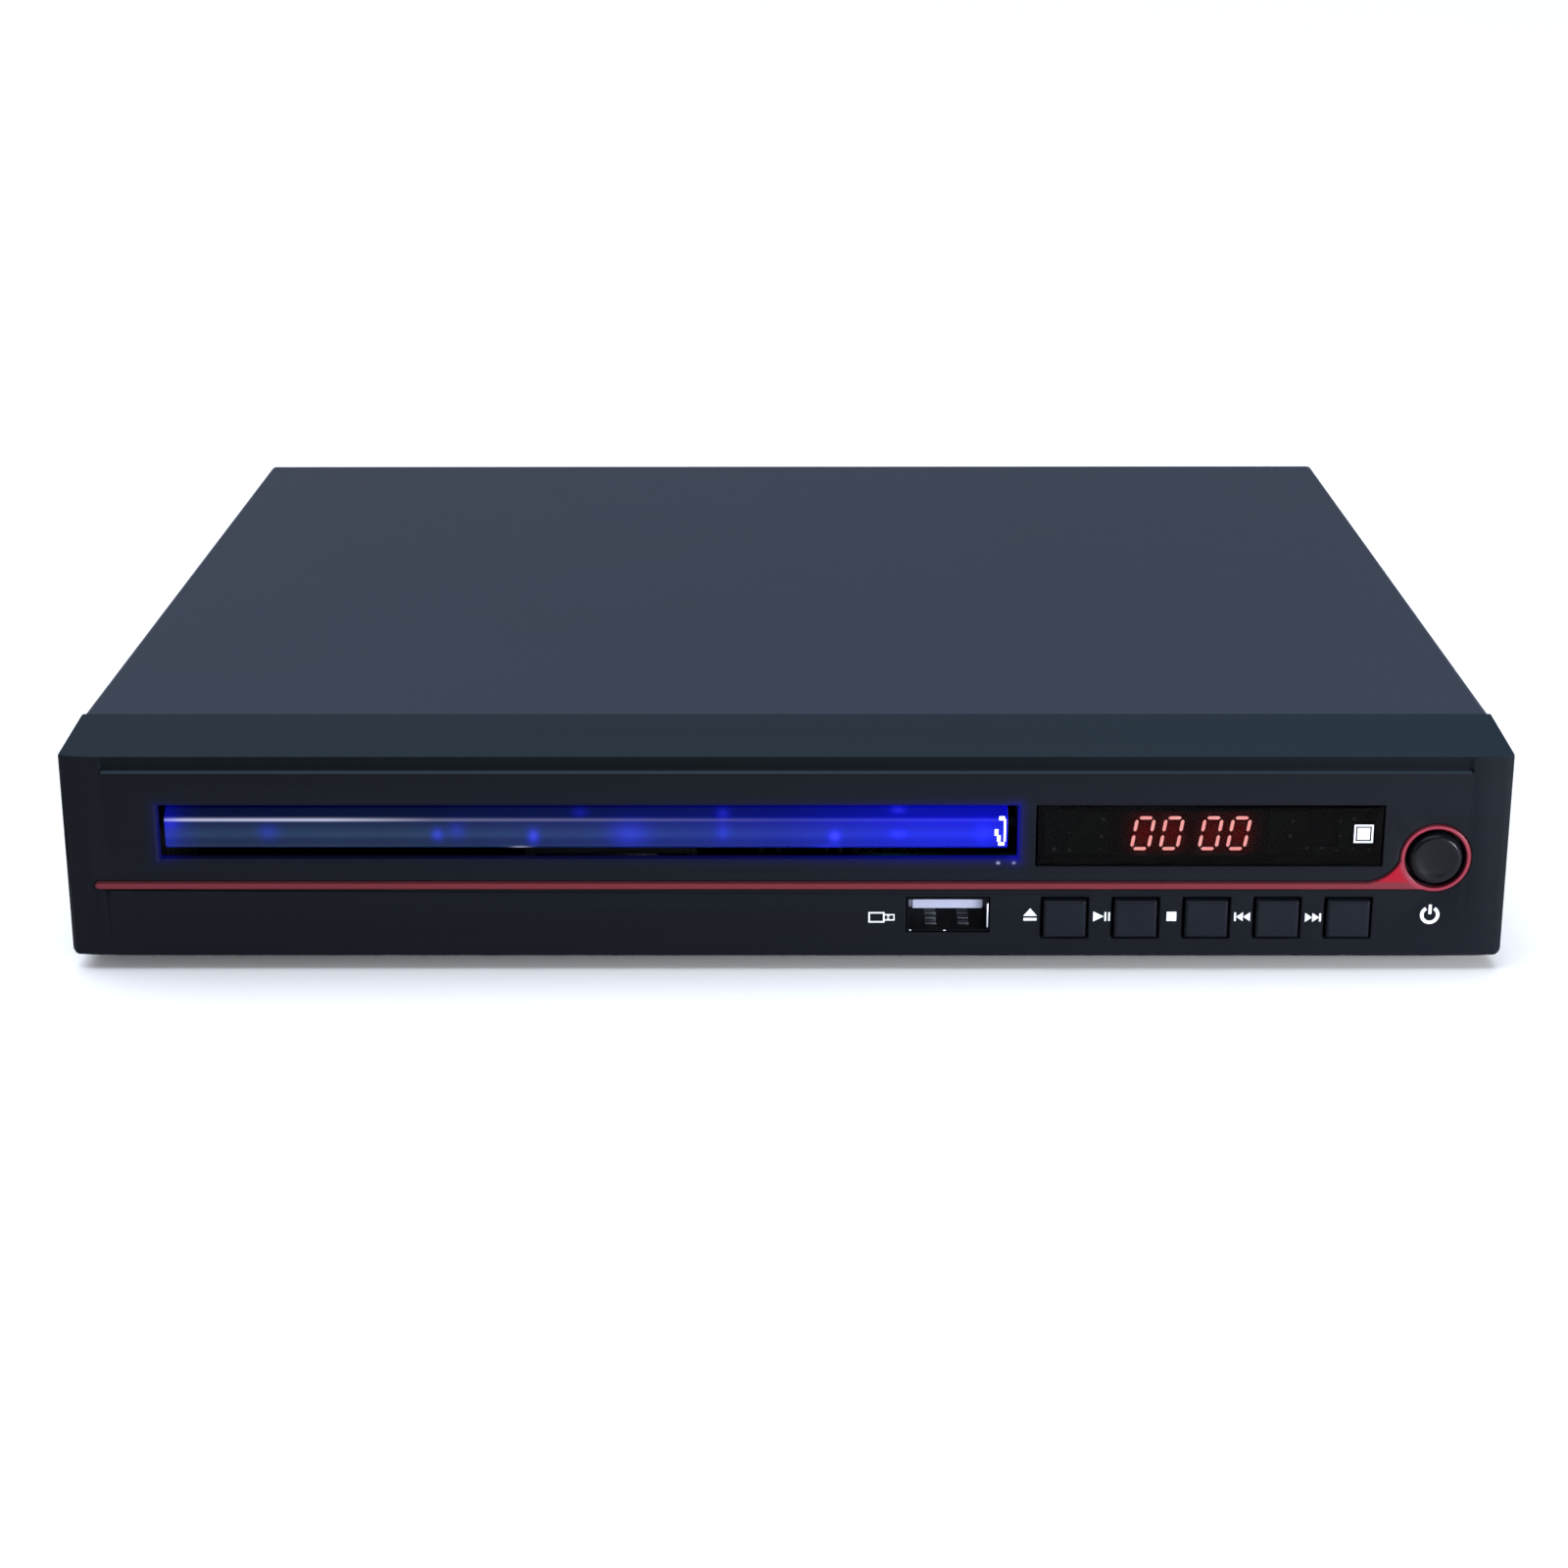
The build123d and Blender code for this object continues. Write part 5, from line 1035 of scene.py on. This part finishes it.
# painted glints: where the lamp's beam enters the bar, small glowing blocks pick out the two feet of the clip and the
# edge between them
glints = [
    (across, (door_y[0] - 0.03, door_y[0] + 0.2), up) for across, up in (
        ((34.0, 34.9), (25.2, 25.85)), ((34.75, 35.1), (21.6, 25.4)), ((33.9, 34.9), (20.95, 21.5)),
        ((33.3, 33.9), (22.6, 23.7)), ((33.7, 34.3), (21.6, 22.7)),
    )
]
glint_glow = lamp_white("painted_glint_white", "#b8bcff", 1.6)
add_piece("door_glints", box_shapes("door_glints", glints, 0.06), glint_glow, "tray")
dress("door_led", lamp_white("blue_led_epoxy", "#5a5aff", 2.0))


# ---------------------------------------------------------------- disc tray
# The tray is moulded in black ABS with a recess for each size of disc and a slot
# for the turntable. Its rack runs underneath along the right side.

tray_abs = satin_black_abs("smooth_black_abs", "#121316", "#1a1c20", 0.4, 0.35)
ease_node("disc_tray", 0.22, tray_abs, steps=3)


# ---------------------------------------------------------------- loader frame and clamp
# The frame that the tray slides in is moulded in black ABS. A zinc-coated bridge
# across it carries the clamper, a white acetal puck over the disc's middle.

frame_abs = satin_black_abs("coarse_black_abs", "#1b1c1f", "#26282b", 0.52, 0.3)
ease_node("loader_frame", 0.15, frame_abs)
ease_node("clamp_bridge", 0.12, zinc_steel)


def moulded_acetal(name, low, high, roughness=0.36):
    """Acetal: waxy and slightly translucent, with faint flow marks from the gate."""
    paint, tree, shader, place = new_finish(
        name, {"Roughness": roughness, "Specular IOR Level": 0.4, "IOR": 1.48, "Subsurface Weight": 0.06},
    )
    shader.inputs["Subsurface Radius"].default_value = (0.0012, 0.0011, 0.001)
    flow = put(tree, "ShaderNodeTexNoise", {"Vector": place, "Scale": 240.0, "Detail": 3.0, "Distortion": 0.8})
    vary(tree, shader, flow.outputs[0], colours=(low, high), relief=(0.1, 0.00005))
    return paint


white_acetal = moulded_acetal("white_acetal", "#d9d8d2", "#e8e7e2")
black_acetal = moulded_acetal("black_acetal", "#17181a", "#212225", 0.3)
dress("clamper", white_acetal)


# ---------------------------------------------------------------- tray drive
# A small motor turns a belt, the belt turns a pulley with a pinion, and the
# pinion turns the wheel that drives the tray's rack. A cam slider lifts the deck.

dress("drive_gear", black_acetal)
dress("pulley_gear", black_acetal)
dress("cam_slider", black_acetal)
dress("drive_belt", rubber("black_belt_rubber", "#0e0e0f", "#1a1a1b"))


def turned_brass():
    """Turned brass: warm yellow with the lathe's rings across it."""
    paint, tree, shader, place = new_finish("turned_brass", {"Metallic": 1.0})
    rings = put(tree, "ShaderNodeTexWave", {"Vector": place, "Scale": 700.0, "Distortion": 0.4}, bands_direction="Z")
    vary(tree, shader, rings.outputs[1], colours=("#a8823a", "#cda658"), roughness=(0.18, 0.34))
    return paint


dress("motor_pulley", turned_brass())
can_steel = nickel_plate("drawn_motor_can", "#8d9196", "#adb1b6", 0.28)
dress("loading_motor", can_steel)
dress("spindle_motor", can_steel)
dress("feed_motor", can_steel)


# ---------------------------------------------------------------- traverse
# A moulded frame that tilts carries, on four rubber dampers, a steel deck with
# the spindle motor, the rods and the pickup that slides on them.

ease_node("traverse_frame", 0.1, frame_abs)
dress("deck_dampers", foot_rubber)
ease_node("deck_plate", 0.08, zinc_steel)
dress("guide_rods", nickel_plate("ground_rod_steel", "#b4b7bb", "#d2d4d8", 0.1))
dress("turntable", black_acetal)
dress("feed_gear", white_acetal)
dress("feed_pinion", white_acetal)


def zinc_casting():
    """Die-cast zinc: grey, slightly grainy, with darker patches where the die was cooler."""
    noise = {"Scale": 180.0, "Detail": 4.0}
    return clouded(
        "die_cast_zinc", {"Metallic": 0.9}, noise,
        colours=("#6f7275", "#93969a"), roughness=(0.4, 0.6), relief=(0.2, 0.0001),
    )


ease_node("pickup_body", 0.12, zinc_casting())
dress("lens_holder", black_acetal)


def coated_lens():
    """A coated moulded lens: dark and polished, with a bloom that runs from blue to violet."""
    surface = {"Roughness": 0.02, "Specular IOR Level": 0.9, "Coat Weight": 1.0}
    return clouded("coated_lens", surface, {"Scale": 260.0, "Detail": 1.0}, colours=("#1b2a4a", "#3d2a5c"))


dress("lens", coated_lens())


# ---------------------------------------------------------------- circuit boards
# Green glass-epoxy for the main and front boards and tan paper-phenolic for the
# power board, with copper tracks that show through the solder resist.

def circuit_board(name, resist, track, pitch, across):
    """Solder resist over copper: tracks in steps of the board's grid, dotted with tinned holes on its two sides."""
    paint, tree, shader, place = new_finish(name, {"Roughness": 0.35, "Specular IOR Level": 0.45})
    steps = put(tree, "ShaderNodeVectorMath", {0: place, 1: (pitch * mm,) * 3}, operation="SNAP")
    lanes = put(tree, "ShaderNodeTexNoise", {"Vector": steps.outputs[0], "Scale": 90.0, "Detail": 2.0})
    copper = put(tree, "ShaderNodeMapRange", {"Value": lanes.outputs[0], "From Min": 0.5, "From Max": 0.54})
    dots = put(
        tree, "ShaderNodeTexVoronoi", {"Vector": place, "Scale": 1000 / (pitch * 2), "Randomness": 0.25},
    )
    pad = put(
        tree, "ShaderNodeMapRange", {"Value": dots.outputs["Distance"], "From Min": 0.16, "From Max": 0.12},
    )
    facing = put(tree, "ShaderNodeSeparateXYZ", {"Vector": put(tree, "ShaderNodeTexCoord").outputs["Normal"]})
    dotted = carry(
        tree, facing.outputs[across], ("ABSOLUTE",), ("GREATER_THAN", 0.5), ("MULTIPLY", pad.outputs[0]),
    )
    base = coats(tree, resist, (copper.outputs[0], track), (dotted, "#b9bcc0"))
    link(tree, base, shader.inputs["Base Color"])
    vary(tree, shader, copper.outputs[0], relief=(0.3, 0.00004))
    return paint


dress("front_board", circuit_board("green_glass_epoxy_upright", "#0f3a22", "#1d5a36", 1.27, "Y"))
dress("main_board", circuit_board("green_glass_epoxy", "#0f3a22", "#1d5a36", 1.27, "Z"))
dress("power_board", circuit_board("tan_paper_phenolic", "#8a6a3a", "#a3824c", 2.54, "Z"))
dress("main_chips", satin_black_abs("moulded_chip_epoxy", "#141517", "#1e1f22", 0.55, 0.3))
dress("tact_switches", satin_black_abs("switch_nylon", "#1a1b1d", "#242528", 0.45, 0.3))
dress("board_connectors", moulded_acetal("cream_connector_nylon", "#cfc8b4", "#dfd9c8"))
dress("front_ribbon", moulded_acetal("ribbon_polyester", "#c9ccd0", "#dee0e3", 0.3))


def brushed_aluminium():
    """Extruded aluminium: pale, with the die's lines along its fins."""
    paint, tree, shader, place = new_finish("extruded_aluminium", {"Metallic": 1.0})
    long = put(tree, "ShaderNodeMapping", {"Vector": place, "Scale": (2600.0, 60.0, 2600.0)})
    lines = put(tree, "ShaderNodeTexNoise", {"Vector": long.outputs[0], "Scale": 1.0, "Detail": 3.0})
    vary(tree, shader, lines.outputs[0], colours=("#a5a8ac", "#c6c9cc"), roughness=(0.28, 0.45))
    return paint


dress("heat_sink", brushed_aluminium())


def can_sleeve(name, sleeve, stripe, top_z):
    """A capacitor's shrink sleeve with one pale stripe to each can, and the bare aluminium end on top."""
    paint, tree, shader, place = new_finish(name, {"Roughness": 0.32, "Specular IOR Level": 0.45})
    at = put(tree, "ShaderNodeSeparateXYZ", {"Vector": place})
    bands = put(tree, "ShaderNodeTexWave", {"Vector": place, "Scale": 30.0, "Distortion": 0.2}, bands_direction="X")
    mark = put(tree, "ShaderNodeMapRange", {"Value": bands.outputs[1], "From Min": 0.86, "From Max": 0.9})
    end = put(
        tree, "ShaderNodeMapRange",
        {"Value": at.outputs["Z"], "From Min": top_z - 0.3 * mm, "From Max": top_z - 0.2 * mm},
    )
    base = coats(tree, sleeve, (mark.outputs[0], stripe), (end.outputs[0], "#b9bcc0"))
    link(tree, base, shader.inputs["Base Color"])
    link(tree, end.outputs[0], shader.inputs["Metallic"])
    return paint


dress("main_capacitors", can_sleeve("black_can_sleeve", "#15171b", "#8f9399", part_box("main_capacitors")[1].z))
dress("power_capacitors", can_sleeve("blue_can_sleeve", "#14213c", "#a5a9b0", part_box("power_capacitors")[1].z))


def transformer_tape():
    """Ferrite and yellow polyester tape: dark grey core with taped windings in the middle of its height."""
    paint, tree, shader, place = new_finish("ferrite_and_tape", {"Roughness": 0.5, "Specular IOR Level": 0.35})
    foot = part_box("transformer")[0].z / mm
    at = put(tree, "ShaderNodeSeparateXYZ", {"Vector": place})
    grain = put(tree, "ShaderNodeTexNoise", {"Vector": place, "Scale": 500.0, "Detail": 2.0})
    tape = within(tree, at, Z=(foot + 3.05, foot + 12.95))
    link(tree, coats(tree, "#26272a", (grain.outputs[0], "#35363a"), (tape, "#c9a227")), shader.inputs["Base Color"])
    return paint


dress("transformer", transformer_tape())


def wire_insulation():
    """PVC insulation: coloured where the wires cross in front of the boards, pale grey along the rest."""
    paint, tree, shader, place = new_finish("coloured_pvc_insulation", {"Roughness": 0.4, "Specular IOR Level": 0.4})
    at = put(tree, "ShaderNodeSeparateXYZ", {"Vector": place})
    first_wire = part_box("power_wires")[0].y
    share = put(
        tree, "ShaderNodeMapRange",
        {"Value": at.outputs["Y"], "From Min": first_wire, "From Max": first_wire + 8.8 * mm},
    )
    ramp = put(tree, "ShaderNodeValToRGB", {"Fac": share.outputs[0]})
    ramp.color_ramp.interpolation = "CONSTANT"
    stops = ramp.color_ramp.elements
    stops[0].color = linear("#1c1c1e")
    stops[1].position, stops[1].color = 0.75, linear("#b8b8b4")
    for position, colour in ((0.25, "#9c1c1c"), (0.5, "#c28a1a")):
        stops.new(position).color = linear(colour)
    link(tree, ramp.outputs[0], shader.inputs["Base Color"])
    return paint


dress("power_wires", wire_insulation())


# ---------------------------------------------------------------- sockets in the back
# Four plated audio and video jacks in one moulding, a digital socket and a mains
# inlet, all standing on their boards and showing through the back plate.

def jack_inserts():
    """The jacks' moulded inserts: black housing with a yellow, a white, a red and an orange centre."""
    paint, tree, shader, place = new_finish("coloured_jack_nylon", {"Roughness": 0.38, "Specular IOR Level": 0.4})
    at = put(tree, "ShaderNodeSeparateXYZ", {"Vector": place})
    middle_x, middle_z, face = 56.7, 21.8, 91.5
    inside = put(
        tree, "ShaderNodeMapRange",
        {"Value": at.outputs["Y"], "From Min": (face - 0.1) * mm, "From Max": (face + 0.1) * mm},
    )
    right = carry(tree, at.outputs["X"], ("GREATER_THAN", middle_x * mm))
    high = carry(tree, at.outputs["Z"], ("GREATER_THAN", middle_z * mm))
    upper = coats(tree, "#c26a14", (right, "#d8b21c"))
    lower = coats(tree, "#a81820", (right, "#d9d9d4"))
    grain = put(tree, "ShaderNodeTexNoise", {"Vector": place, "Scale": 600.0, "Detail": 2.0})
    base = coats(
        tree, "#131416", (grain.outputs[0], "#1c1d20"), (inside.outputs[0], coats(tree, lower, (high, upper))),
    )
    link(tree, base, shader.inputs["Base Color"])
    return paint


dress("av_jack_block", jack_inserts())
ease_node("av_jack_shells", 0.12, shell_nickel)
ease_node("hdmi_socket", 0.08, shell_nickel)
ease_node("mains_inlet", 0.2, satin_black_abs("inlet_nylon", "#141517", "#1d1e21", 0.45, 0.35))
